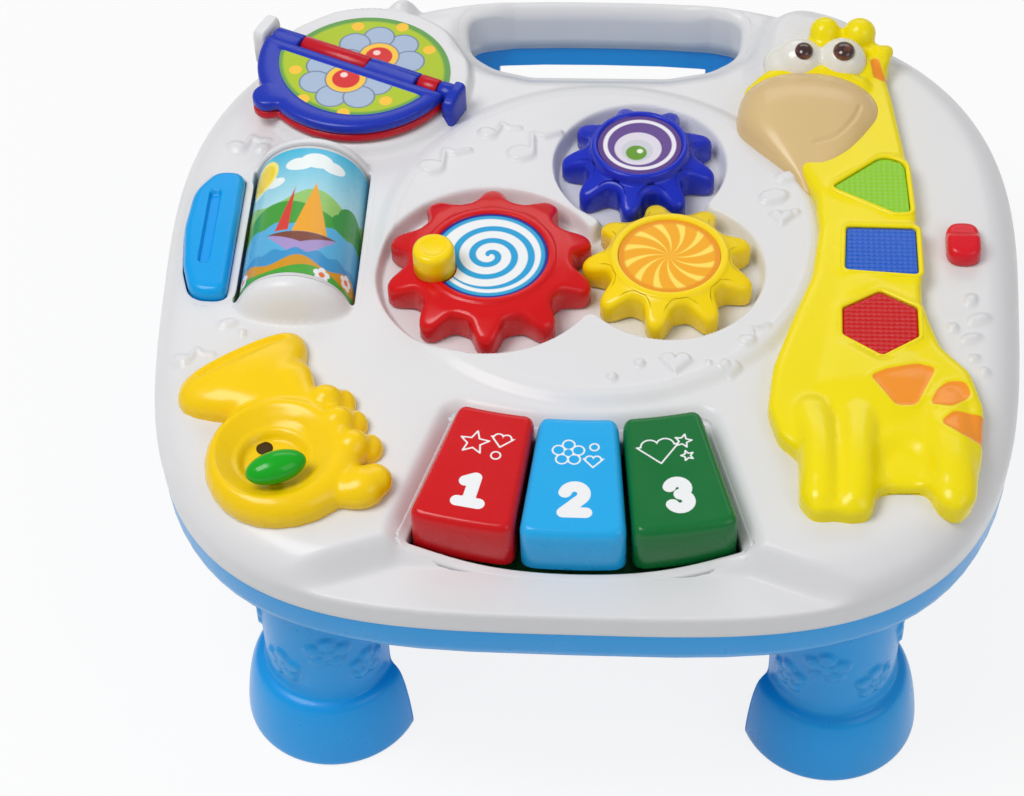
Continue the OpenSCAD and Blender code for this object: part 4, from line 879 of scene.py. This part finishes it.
# Slide switch
# A red moulded grip on the deck, whose stem passes a slot in the shell into the switch below.
# It slides six millimetres towards the front; its front half stands up for the finger.
switch_y = 12.0
switch_line = even(corners(box_corners(136.5, 149.5, 2, 22), 6.2, 12), 160)
switch_profile = [(0.3, 0.4), (0, 0.7), (0, 5.0), (0.15, 6.0), (0.6, 7.0), (1.3, 7.6), (2.2, 7.9), (3.2, 8.0)]


def switch_top(x, y, z):
    ridge = soft_step(y - switch_y - 1.5, 5.0)
    return np.where(z > 3.0, z - 2.6 * (1 - ridge) - 0.9 * np.clip((switch_y - y) / 9, 0, 1), z)


switch_red = moulded("switch_red_plastic", shade(222, 22, 40), rough=0.3)
mesh("switch_grip", cushion(switch_line, switch_profile, 16, switch_top), switch_red,
     "power_knob", "switch_knob")

# Flip book
# Two half-round pages, red below and blue above, that turn on one steel pin between a white lug on the shell
# and a blue end post. Each page has a thick rounded edge round a printed card; a third card lies on the base.
page_r = 41.0
page_lean = np.array((-1.5, -1.2))
page_rim = 5.7
page_columns = 320
hinge_z, knuckle_r, hinge_half = 9.7, 4.2, 41.0
knuckle_gap = 0.15
tab_out, tab_size, tab_way = 42.5, 6.5, 236


def page_line(inset, tab_r):
    """Half disc in front of the hinge, with a finger tab, as rays from a point inside it."""
    a = full_turn(page_columns)
    ray = np.stack([np.cos(a), np.sin(a)], 1)
    core = np.array((0.0, -18.0))
    start = core - page_lean * max(0.0, 1 - inset / page_rim)
    along = ray @ start
    arc = -along + np.sqrt(along ** 2 - start @ start + (page_r - 1.35 * inset) ** 2)
    chord = np.where(ray[:, 1] > 0.02, (-4.7 - inset - core[1]) / np.maximum(ray[:, 1], 0.02), 200)
    reach = soft_less(arc, chord, 2.5)
    if tab_r > 0:
        tab = tab_out * compass(tab_way) - core
        near = ray @ tab
        rest = near ** 2 - tab @ tab + tab_r ** 2
        tab_reach = soft_more(reach, near + np.sqrt(np.maximum(rest, 0)), 2.0)
        reach = np.where((rest > 0) & (near > 0), tab_reach, reach)
    return core + ray * reach[:, None]


def join(parts):
    """Several skins as one."""
    points, faces, first = [], [], 0
    for p, f in parts:
        points.append(p)
        faces += [[i + first for i in face] for face in f]
        first += len(p)
    return np.concatenate(points), faces


def knuckle(start, stop):
    """Hinge barrel along the book's axis."""
    a = full_turn(40)
    rows = []
    for u, less in ((start, 0.7), (start + 0.15, 0.3), (start + 0.6, 0), (stop - 0.6, 0), (stop - 0.15, 0.3),
                    (stop, 0.7)):
        r = knuckle_r - less
        rows.append(np.stack([np.full(40, u), r * np.cos(a), hinge_z + r * np.sin(a)], 1))
    return stack(rows)


def block(low, high, r=0.6):
    """Box with rounded upright edges and softened top."""
    (x0, y0, z0), (x1, y1, z1) = low, high
    line = even(corners(box_corners(x0, x1, y0, y1), r, 6), 64)
    rows = [level(line, z0)]
    for a in np.radians((0, 30, 60, 90)):
        rows.append(level(inset_line(line, 0.8 * r * (1 - math.cos(a))), z1 - 0.8 * r * (1 - math.sin(a))))
    return stack(rows)


def on_book(skin):
    points, faces = skin
    points[:, :2] = turned(points[:, :2], book_turn) + book_at
    return points, faces


def page(name, low, high, floor_z, spans, mat, body):
    """Page between two heights above the hinge; spans are its knuckles along the hinge."""
    low, high, floor_z = hinge_z + low, hinge_z + high, hinge_z + floor_z
    tall = high - low
    rows = []
    for inset, z in ((0.7, low), (0.2, low + 0.15), (0, low + 0.6), (0, low + 0.62 * tall),
                     (0.15, low + 0.8 * tall), (0.6, low + 0.93 * tall), (1.3, high), (4.0, high),
                     (4.9, low + 0.95 * tall), (5.4, low + 0.88 * tall), (page_rim, floor_z)):
        tab = tab_size - inset if inset < 1 else tab_size - 1.3 - 2.2 * (inset - 1.3) if inset < 3 else 0
        rows.append(level(page_line(inset, tab), z))
    parts = [stack(rows)]
    for start, stop in spans:
        start, stop = start - hinge_half, stop - hinge_half
        parts += [knuckle(start + knuckle_gap, stop - knuckle_gap),
                  block((start + 0.3, -6.2, low + 0.3), (stop - 0.3, -0.5, high - 0.1))]
    mesh(name + "_leaf", on_book(join(parts)), mat, name, body)


page_blue = moulded("page_blue_plastic", shade(26, 52, 178), rough=0.26)
page_red = moulded("page_red_plastic", shade(196, 14, 36), rough=0.28)
page("page_blue", 0.3, 4.6, 3.75, ((0, 13), (44, 67)), page_blue, "blue_page")
page("page_red", -3.9, -0.3, -1.15, ((13, 44), (67, 76)), page_red, "red_page")


def post_top(x, y, z):
    return np.where(z > 6, z - 0.035 * np.maximum(-y, 0) ** 2, z)


post_line = even(corners(box_corners(39.9, 45.2, -8.6, 5.2), (1.8, 4.0, 4.5, 1.8), 8), 120)
post_profile = [(0.2, 0.2), (0, 0.6), (0, 11.4), (0.2, 12.3), (0.6, 13.1), (1.2, 13.6)]
post = cushion(post_line, post_profile, 10, post_top)
mesh("book_end_post", on_book(join([post, knuckle(35.3, 41.5)])), page_blue, "book_post")
lug_line = even(corners(box_corners(-49.6, -42.9, -6.4, 7.4), (3.6, 2.0, 2.0, 3.6), 8), 120)
lug = cushion(lug_line, [(0, -2), (0, 10.5), (0.2, 12.0), (0.6, 13.2), (1.1, 14.0), (1.4, 14.3)], 10)
mesh("book_lug", on_book(lug), white)
lime = shade(174, 198, 10)
petal_line, petal_blue, dot_yellow = (104, 120, 150), (166, 186, 212), (250, 196, 50)


def flower_print(petal_turn, centre_v):
    """Card with a seven-petalled flower, yellow dots between its petals and a green edge."""
    def paint(tree, place, under):
        u, v, reach = axes_at(tree, place, book_at, book_turn)
        edge = calc(tree, "SUBTRACT", 0.0325, reach)
        skin = over(tree, under, gap_mask(tree, edge, 0.0006), shade(96, 158, 70))
        discs = []
        for a in np.radians(petal_turn + 360 / 7 * np.arange(7)):
            petal = (13 * math.cos(a), centre_v + 11.5 * math.sin(a))
            dot = (21.5 * math.cos(a + 0.45), centre_v + 20 * math.sin(a + 0.45))
            discs += [(petal, 6.6, petal_line), (petal, 6.0, petal_blue), (dot, 2.6, dot_yellow)]
        middle = (0, centre_v)
        discs += [(middle, 8.6, (110, 126, 150)), (middle, 8.0, (250, 200, 60)), (middle, 5.6, (216, 24, 26)),
                  ((-1.8, centre_v + 1.6), 1.5, (250, 214, 206))]
        return spots(tree, skin, u, v, discs)
    return paint


for node, name, tint, flower in (("page_blue_picture", "flower_card_front", lime, (12, -14)),
                                 ("book_base_picture", "flower_card_rear", lime, (64, 12)),
                                 ("page_red_picture", "flower_card_inner", shade(250, 226, 120), (38, -17))):
    dress(node, moulded(name, tint, rough=0.3, print_and_glint_on=flower_print(*flower)))
dress("book_pin", steel)

# Toy horn
# One hollow yellow moulding in the shape of a horn: bell, coiled tube round a dish, three valves, mouthpiece.
# It is pushed into the shell from above and held by clips.
figure_foot = -3.0
dish_at = np.array((-109.0, -105.5))
coil_at, coil_r = np.array((-106.6, -105.2)), 21.8
coil_ways = np.arange(100, 461, 15)
bell_mouth = np.array((-128.3, -55.3))
bell_way = np.array((0.572, -0.82))
bell_side = np.array((0.82, 0.572))
# Distance from the mouth, reach to the left and right, and half height of the bell's sections
bell_sections = ((0, 23, 22.5, 7.5), (2, 25.8, 24.8, 9.5), (6, 28.4, 25.6, 10.8), (11, 28.6, 24, 11.4),
                 (16, 26.2, 20.6, 11.4), (21, 21.5, 18.4, 11), (27, 15, 17, 10.2), (34, 6, 15.8, 9.4))
valves = ((-93.3, -78), (-88, -88), (-81.5, -99.2))
lever_at = np.array((-106.0, -116.4))
lever_turn = math.radians(24)
stem_half = 2.2


def limb(path, across, upright, columns=32):
    """Tube along a path with an oval section and round ends."""
    path = np.asarray(path, float)
    across = np.broadcast_to(across, len(path)).astype(float)
    upright = np.broadcast_to(upright, len(path)).astype(float)
    track = through(np.c_[path, across, upright], 26)
    step = np.gradient(track[:, :2], axis=0)
    step /= np.hypot(*step.T)[:, None]
    a = full_turn(columns)
    end = np.radians((80, 60, 40, 20))
    rings = [(0, -track[0, 3] * math.sin(t), math.cos(t)) for t in end]
    rings += [(k, 0, 1) for k in range(len(track))]
    rings += [(-1, track[-1, 3] * math.sin(t), math.cos(t)) for t in end[::-1]]
    rows = []
    for k, ahead, size in rings:
        x, y, z, w, h = track[k]
        side = np.array((-step[k, 1], step[k, 0]))
        flat = (x, y) + step[k] * ahead + side * (w * size * np.cos(a))[:, None]
        rows.append(np.c_[flat, z + h * size * np.sin(a)])
    return stack(rows)


def ball(at, radii, columns=36):
    a = full_turn(columns)
    oval = np.stack([radii[0] * np.cos(a), radii[1] * np.sin(a)], 1)
    rows = []
    for t in np.radians(np.linspace(-86, 86, 22)):
        rows.append(level(oval * math.cos(t) + at[:2], at[2] + radii[2] * math.sin(t)))
    return stack(rows)


def places(data):
    """Points of a mesh in millimetres from the deck plane."""
    found = np.empty(len(data.vertices) * 3)
    data.vertices.foreach_get("co", found)
    return found.reshape(-1, 3) * 1000 - (0, 0, deck)


def melt(name, parts, voxel, rounds, foot, mat, node, shape=None):
    """Fuses overlapping forms to one skin, softens the joins, gives it its last shape and a flat foot."""
    rough = mesh(name + "_rough", join(parts), mat)
    fuse = rough.modifiers.new("fuse", "REMESH")
    fuse.mode = "VOXEL"
    fuse.voxel_size = voxel * 0.001
    soften = rough.modifiers.new("soften", "SMOOTH")
    soften.factor = 0.5
    soften.iterations = rounds
    view = rough.evaluated_get(bpy.context.evaluated_depsgraph_get())
    data = view.to_mesh()
    points = places(data)
    faces = [tuple(p.vertices) for p in data.polygons]
    view.to_mesh_clear()
    bpy.data.objects.remove(rough)
    if shape:
        points[:, 2] = shape(*points.T)
    points[:, 2] = np.maximum(points[:, 2], foot)
    return mesh(name, (points, faces), mat, node)


def squared(wave):
    """Wave with fuller crests, for sections between an oval and a box."""
    return np.sign(wave) * np.abs(wave) ** 0.8


a = full_turn(48)
bell = []
for far, left, right, tall in bell_sections:
    across = (right - left) / 2 + (right + left) / 2 * squared(np.cos(a))
    flat = bell_mouth + bell_way * far + bell_side * across[:, None]
    bell.append(np.c_[flat, tall * squared(np.sin(a))])
coil = [(*(coil_at + coil_r * compass(way)), 2.5) for way in coil_ways]
coil_wide = 6.8 + 1.2 * np.cos(np.radians(coil_ways)) - 0.6 * np.sin(np.radians(coil_ways))
tube = [(-108, -68, 4.8), (-101, -79.5, 4.4), (-95.4, -88.5, 4.2), (-90.6, -99.5, 4), (-86.5, -110, 4),
        (-83, -116, 3.6)]
mouthpiece = [(-83.5, -117.5, 3), (-76, -116.8, 3.6), (-71.8, -114, 3.6)]
parts = [stack(bell), limb(coil, coil_wide, 8.0), ball((*dish_at, 0), (21, 21, 9.5)),
         limb(tube, (10, 6.6, 5.2, 5.0, 5.8, 7), (6, 5.2, 4.8, 4.8, 5.0, 5.2)),
         limb(mouthpiece, (7.6, 8.6, 6.8), (6.2, 7.4, 6.4))]
for x, y in valves:
    parts += [ball((x + 0.6, y, 4.8), (6.8, 6.2, 7.2)), ball((x + 6.2, y + 1.8, 1.4), (5.4, 6.0, 5.6))]


def horn_top(x, y, z):
    """Hollows out the dish and cuts a groove across the bell."""
    reach = round_gap(x, y, dish_at, 0.0)
    bowl = 2.2 + 3.4 * (1 - soft_step(reach - 11.8, 3.2)) + 0.62 * np.maximum(reach - 14.4, 0)
    z = np.where((reach < 24) & (z > 0), soft_less(z, bowl, 0.8), z)
    from_mouth = np.stack([x, y], 1) - bell_mouth
    along, flare = from_mouth @ bell_way, from_mouth @ bell_side
    cut = np.abs(along - 4.8) - 2.2 * (1 - (flare / 22) ** 2)
    return z - 1.8 * soft_step(cut, 1.7) * (z > 2) * soft_step(np.abs(flare) - 19, 3)


horn_yellow = moulded("horn_yellow_plastic", shade(248, 206, 8), rough=0.25)
melt("horn_moulding", parts, 1.1, 6, figure_foot, horn_yellow, "horn_body", horn_top)
lever_mat = moulded("lever_green_plastic", shade(20, 168, 30), rough=0.2)
bean, bean_faces = ball((0, 0, 13), (11.2, 6.2, 5.4), 48)
bean[:, :2] = turned(bean[:, :2], lever_turn) + lever_at
stem_x, stem_y = lever_at + (-1.5, 3.5)
stem = block((stem_x - stem_half, stem_y - stem_half, 0.5), (stem_x + stem_half, stem_y + stem_half, 12), 2.0)
mesh("horn_lever_bean", join([(bean, bean_faces), stem]), lever_mat, "horn_lever", "lever")
dress("horn_lever_pin", steel)
# A dark disc on the floor of the dish is painted shadow of a hole there.
hole_mat = moulded("hole_shadow", shade(66, 46, 8), rough=0.7, coat=0.0)
hole_shadow_disc = lathe((-113.1, -98.8), [(3.0, 1.0), (3.1, 2.1), (3.0, 2.4), (1.0, 2.46)], 40)
mesh("lever_hole_shadow", hole_shadow_disc, hole_mat)

# Giraffe
# A hollow yellow moulding clipped into the shell: pillowed body and neck, two front legs and a hind leg.
# Tan muzzle, white eye bulges and glossy eyes are separate pieces pushed in from behind.
lens_seat = 8.1
eye_foot = -2.0
giraffe_line = even(corners([
    (66, 84), (68, 70), (80, 50), (87, 34), (88, 16), (85, -9), (77, -33), (70, -56), (68, -76), (72, -90),
    (79, -97), (79, -118), (84, -125), (92, -124), (97, -125), (104, -124), (107, -112), (114, -111),
    (124, -111), (128, -119), (135, -123), (140, -117), (144, -98), (146, -74), (142, -57), (132, -45),
    (126, -24), (126, 10), (124, 46), (119, 84), (116, 104), (110, 119), (96, 124), (84, 122), (72, 104)],
    (14, 12, 10, 12, 14, 16, 18, 18, 14, 10, 2, 7, 4, 1.5, 4, 6, 3, 3, 3, 4, 6, 6, 10, 12, 10, 12,
     12, 14, 14, 14, 12, 10, 8, 10, 16)), 420)
lens_lines = {
    "green": corners([(92.5, 36.5), (113, 54.5), (122, 51), (123.4, 23), (117, 22.6)], (2.5, 7, 6, 2.5, 4)),
    "blue": corners([(98, 15.2), (125, 15), (125.2, -10.2), (97, -8.2)], 2.2),
    "red": corners([(110, -18.5), (124, -26.8), (124, -42), (110, -51.8), (95.4, -41.6), (95.6, -27.6)], 2.5),
}
spot_lines = [corners(*spot) for spot in (
    ([(105, -63), (111, -59.5), (123, -55), (129.5, -56.5), (121.5, -75.5), (114, -76.5)],
     (2, 4, 4, 2.5, 4, 4)),
    ([(126, -75), (129, -68), (133, -63.3), (140, -62.8), (141.4, -70), (134, -77)], (2.5, 4, 4, 4, 4, 5)),
    ([(129, -85), (134.5, -79), (146, -79), (146, -93), (137, -91)], (3, 4, 2, 2, 5)),
    ([(109.5, 108), (113, 108.5), (117.5, 97.5), (111, 100)], (1.5, 3, 1, 2)),
    ([(117.3, 95), (119.5, 93), (122, 83), (119.6, 84)], (1, 1, 1, 1)))]
muzzle_at = np.array((83.0, 77.0))
muzzle_line = even(corners([
    (64.5, 61), (80.5, 44), (84.5, 34.5), (89, 44), (104, 59), (116, 79), (111, 94), (95, 103), (71, 102.5),
    (57.5, 92.5), (55.5, 71)], 40, 12), 260)
smile_line = through([(87, 58.5), (95.3, 61.8), (102, 70), (104.9, 77.3)], 20)


def pillow(line, top, r):
    """Block over an outline with a quarter round along its top edge."""
    rows = [level(line, figure_foot)]
    for t in np.radians(np.linspace(0, 90, 9)):
        rows.append(level(inset_line(line, r * (1 - math.cos(t))), top - r * (1 - math.sin(t))))
    return stack(rows)


front_leg_wide, front_leg_tall = (9, 7.6, 7.2), (7, 7.4, 7.2, 6.4)
parts = [pillow(giraffe_line, 7.6, 3.0),
         limb([(106, 60, 2), (106, 20, 2), (104, -20, 2), (104, -45, 2), (106, -64, 2)], (15, 17, 19, 25, 30),
              (6, 6.2, 6.6, 7.2, 8)),
         limb([(84, -78, 3), (86, -92, 4.5), (86.5, -108, 5), (86.6, -116, 4)], (*front_leg_wide, 7.4),
              front_leg_tall),
         limb([(101, -78, 3), (100, -92, 4.5), (99.4, -108, 5), (98.6, -117, 4)], (*front_leg_wide, 7.0),
              front_leg_tall),
         limb([(132, -72, 2), (133, -90, 3.5), (133.6, -106, 4.5), (133.8, -113, 3.8)], (12, 10, 8.6, 8.0),
              (7, 7.4, 7, 6)),
         limb([(80, 108, 3), (92, 111, 4), (106, 108, 3)], (13, 13, 12), (9, 10, 8)),
         ball((91.6, 120, 14), (6.4, 6.2, 6.4)), ball((105.6, 119.4, 14), (6.8, 6.4, 6.6)),
         limb([(92, 118, 8), (92, 119, 12)], 4.5, 5), limb([(105, 117, 8), (105.5, 118.5, 12)], 4.5, 5),
         limb([(110, 108, 5), (114, 112, 8), (116.5, 114, 9)], (6, 5.6, 3.4), (5, 4.6, 3)),
         limb([(63, 92, 4), (71, 98.6, 7), (83, 100.4, 8.4), (95, 99.6, 8.4), (106, 95, 6.5)], 4.2, 4.0)]


def giraffe_top(x, y, z):
    """Sinks the seats of the lenses, gives them and the spots raised edges, and hollows the belly."""
    upper = z > 2
    for line in lens_lines.values():
        gap = outline_gap(x, y, line)
        z = z + np.where(upper, (lens_seat - z) * soft_step(gap - 2.5, 4.0), 0)
        edge = 0.5 * soft_step(np.abs(gap - 0.9) - 0.5, 1.2)
        z = z + np.where(upper, edge - 4.0 * soft_step(gap + 0.1, 0.9), 0)
    for line in spot_lines:
        gap = outline_gap(x, y, line)
        edge = 0.55 * soft_step(np.abs(gap - 0.8) - 0.3, 1.3)
        z = z + np.where(upper, edge - 0.5 * soft_step(gap + 0.3, 1.0), 0)
    belly = soft_step(np.hypot((x - 116) / 9, (y + 103) / 11) * 9 - 9, 7)
    return z - np.where(upper, 2.6 * belly, 0)


def spotted(tree, place, under):
    return over(tree, under, gap_mask(tree, marked(tree, "spot_gap"), 0.25), shade(250, 152, 44))


giraffe_yellow = moulded("giraffe_yellow_plastic", shade(246, 226, 6), rough=0.24, print_and_glint_on=spotted)
giraffe = melt("giraffe_moulding", parts, 1.2, 6, figure_foot, giraffe_yellow,
               "giraffe_body", giraffe_top)
x, y, z = places(giraffe.data).T
gap = np.minimum.reduce([outline_gap(x, y, line) for line in spot_lines])
mark(giraffe, "spot_gap", np.where(z > 1, gap, unpainted))


def dome(line, middle, tall, count=60):
    """Rounded cap over an outline, steep at its edge and flat in the middle."""
    rows = [level(line, figure_foot)]
    for t in np.linspace(0, 0.497 * math.pi, count):
        rows.append(level(middle + (line - middle) * math.cos(t) ** 0.8, tall * math.sin(t) ** 0.8))
    return stack(rows)


def muzzle_top(x, y, z):
    """Lets the muzzle fall away to the front and cuts the smile into it."""
    z = soft_less(z, 1.5 + 0.4 * (y - 35), 4.0)
    smile = stroke_gap(x, y, smile_line, 0.1)
    lips = 0.35 * soft_step(np.abs(smile - 1.6), 1.6) - 0.9 * soft_step(smile - 0.3, 1.4)
    return z + np.where(z > 4, lips, 0)


tan = moulded("tan_plastic", shade(222, 192, 138), rough=0.22)
melt("muzzle_moulding", [dome(muzzle_line, muzzle_at, 16.4)], 0.9, 34, figure_foot, tan,
     "giraffe_muzzle", muzzle_top)
eye_white = moulded("eye_white_plastic", shade(234, 232, 222), rough=0.2, coat=0.5)
bulges = [ball((81, 107, 8.5), (10.6, 9.8, 11.0), 48), ball((98.4, 107.2, 8.5), (10.2, 9.8, 11.0), 48),
          ball((75.5, 106.5, 7), (9, 8.8, 8.4))]
melt("eye_bulges", bulges, 1.0, 6, eye_foot, eye_white, "giraffe_eye_whites")


def iris_print(tree, place, under):
    drift = speckle(tree, place, 260.0)
    return over(tree, under, spread(tree, drift, 0.42, 0.62), shade(120, 66, 52))


iris = moulded("eye_gloss_plastic", shade(58, 34, 30), rough=0.12, coat=1.0, print_and_glint_on=iris_print)
irises = join([ball((82.7, 104.3, 17.4), (3.9, 4.3, 3.0)), ball((98.8, 104.6, 17.4), (4.5, 4.8, 3.2))])
mesh("eye_irises", irises, iris, "giraffe_eyes")

# Light lenses
# Three clear coloured windows in the neck with a fine cast grid on them; lamps shine through from below.
# Each lies in a seat of the giraffe's moulding, inside a raised yellow rim.
grid_pitch = 0.0021
rim_rows, rim_columns = 16, 240


def lens_grid(tree, place):
    part = tree.nodes.new("ShaderNodeSeparateXYZ")
    feed(tree, part.inputs[0], place)
    waves = [calc(tree, "SINE", calc(tree, "MULTIPLY", part.outputs[k], 6.2832 / grid_pitch)) for k in (0, 1)]
    return calc(tree, "MULTIPLY_ADD", calc(tree, "ADD", *waves), 0.25, 0.5)


def lens_grid_glints(strength):
    """Painted glints: pale knots of the grid, of that strength."""
    def paint(tree, place, under):
        knots = spread(tree, lens_grid(tree, place), 0.45, 0.95, 0.0, strength)
        return over(tree, under, knots, ink_white)
    return paint


rim_yellow = moulded("lens_rim_yellow_plastic", shade(246, 226, 6), rough=0.24)
# Each window's colour gets painted glints, pale on the knots of its grid.
for tone, tint, strength in (("green", shade(140, 206, 0), 0.07), ("blue", shade(0, 88, 200), 0.05),
                             ("red", shade(204, 0, 8), 0.03)):
    lens_mat = moulded("clear_" + tone + "_lens", tint, rough=0.16, drift=0.08, coat=0.25,
                       print_and_glint_on=lens_grid_glints(strength), grain=lens_grid)
    line = even(inset_line(even(lens_lines[tone], 200), 0.3), 200)
    window = cushion(line, [(0, 4.2), (0, 6.9), (0.1, 7.2), (0.35, 7.4), (0.8, 7.5)], 14)
    mesh(tone + "_lens_window", window, lens_mat, "lens_" + tone)
    edge = even(lens_lines[tone], rim_columns)
    rows = [level(inset_line(edge, -0.75 - 1.05 * math.cos(a)), 7.7 + 0.9 * math.sin(a))
            for a in full_turn(rim_rows)]
    faces = skin_faces(rim_rows + 1, rim_columns)[:, ::-1] % (rim_rows * rim_columns)
    mesh(tone + "_lens_rim", (np.concatenate(rows), faces.tolist()), rim_yellow)

# Inner works and fixings
# Boards, domes, cells, speaker, switch and screws, which a tipped or opened table shows.
# They keep the solids of the part's source and get their finishes here.
board_green = moulded("board_green", shade(30, 110, 60), rough=0.4)
black_plastic = moulded("black_plastic", shade(28, 28, 30), rough=0.45)
rubber = moulded("grey_rubber", shade(110, 112, 116), rough=0.65, coat=0.0)
cell_wrap = moulded("cell_wrap", shade(52, 74, 90), rough=0.3)
lamp_clear = moulded("lamp_clear", shade(240, 236, 214), rough=0.15)
for mat, names in ((board_green, ("circuit_board", "paddle_board", "lamp_board")),
                   (black_plastic, ("sound_chip", "power_switch", "speaker")), (lamp_clear, ("lamps",)),
                   (rubber, ("key_dome_red", "key_dome_blue", "key_dome_green", "paddle_dome")),
                   (cell_wrap, ("battery_cells",)),
                   (steel, ("key_rods", "board_screws", "battery_contacts", "battery_cover_screw",
                            "case_screws", "gear_red_screw", "gear_yellow_screw", "gear_blue_screw"))):
    for name in names:
        dress(name, mat)

# Studio
# A pale floor that fades to white, one soft lamp above and two weaker ones that fill the shadows.
# The camera looks from where the photo was taken.
floor_z = -0.0005
floor_glow = 0.86
sky_strength = 0.36
azimuth, elevation, roll = math.radians(5.093), math.radians(48.475), math.radians(-2.451)
target = Vector((-0.025232, -0.069703, 0.135))
camera_far = 1.020014
lens_length, film_wide = 97.7, 36.0
floor_mat = bpy.data.materials.new("pale_floor")
floor_mat.use_nodes = True
tree = floor_mat.node_tree
floor_shader = tree.nodes["Principled BSDF"]
feed(tree, floor_shader.inputs["Base Color"], (0.9, 0.9, 0.9, 1))
feed(tree, floor_shader.inputs["Roughness"], 0.7)
glow = tree.nodes.new("ShaderNodeEmission")
feed(tree, glow.inputs["Color"], (1, 1, 1, 1))
path = tree.nodes.new("ShaderNodeLightPath")
rays = calc(tree, "MAXIMUM", path.outputs["Is Camera Ray"], path.outputs["Is Glossy Ray"])
rays = calc(tree, "MAXIMUM", rays, path.outputs["Is Transmission Ray"])
blend = tree.nodes.new("ShaderNodeMixShader")
seen = calc(tree, "MULTIPLY", rays, floor_glow)
for socket, value in zip(blend.inputs, (seen, floor_shader.outputs[0], glow.outputs[0])):
    feed(tree, socket, value)
feed(tree, tree.nodes["Material Output"].inputs["Surface"], blend.outputs[0])
floor_data = bpy.data.meshes.new("floor")
floor_data.from_pydata([(x, y, floor_z) for x, y in box_corners(-4, 4, -4, 6)], [], [(0, 1, 2, 3)])
floor_data.materials.append(floor_mat)
floor = bpy.data.objects.new("floor", floor_data)
bpy.context.scene.collection.objects.link(floor)

world = bpy.data.worlds.new("studio")
bpy.context.scene.world = world
world.use_nodes = True
feed(world.node_tree, world.node_tree.nodes["Background"].inputs["Color"], (1, 1, 1, 1))
feed(world.node_tree, world.node_tree.nodes["Background"].inputs["Strength"], sky_strength)


def lamp(name, at, aim, size, power):
    data = bpy.data.lights.new(name, "AREA")
    data.shape = "RECTANGLE"
    data.size, data.size_y = size
    data.energy = power
    light = bpy.data.objects.new(name, data)
    light.location = at
    light.rotation_euler = (Vector(aim) - Vector(at)).to_track_quat("-Z", "Y").to_euler()
    bpy.context.scene.collection.objects.link(light)


lamp("key_lamp", (-0.55, -0.25, 1.25), (0, 0, 0.12), (0.6, 0.6), 9.4)
lamp("fill_lamp", (0.9, -0.7, 0.9), (0, 0, 0.1), (0.8, 0.8), 2.8)
lamp("rear_lamp", (0.1, 1.2, 1.0), (0, 0, 0.13), (1.2, 0.5), 3.0)

bpy.context.scene.view_settings.view_transform = "Standard"
level_back = Vector((math.sin(azimuth), -math.cos(azimuth), 0))
back = math.cos(elevation) * level_back + Vector((0, 0, math.sin(elevation)))
right = Vector((math.cos(azimuth), math.sin(azimuth), 0))
rolled_right = math.cos(roll) * right + math.sin(roll) * back.cross(right)
rolled_up = back.cross(rolled_right)
camera_data = bpy.data.cameras.new("camera")
camera_data.sensor_width = film_wide
camera_data.lens = lens_length
camera = bpy.data.objects.new("camera", camera_data)
camera_axes = Matrix((rolled_right, rolled_up, back)).transposed().to_4x4()
camera.matrix_world = Matrix.Translation(target + camera_far * back) @ camera_axes
bpy.context.scene.collection.objects.link(camera)
bpy.context.scene.camera = camera
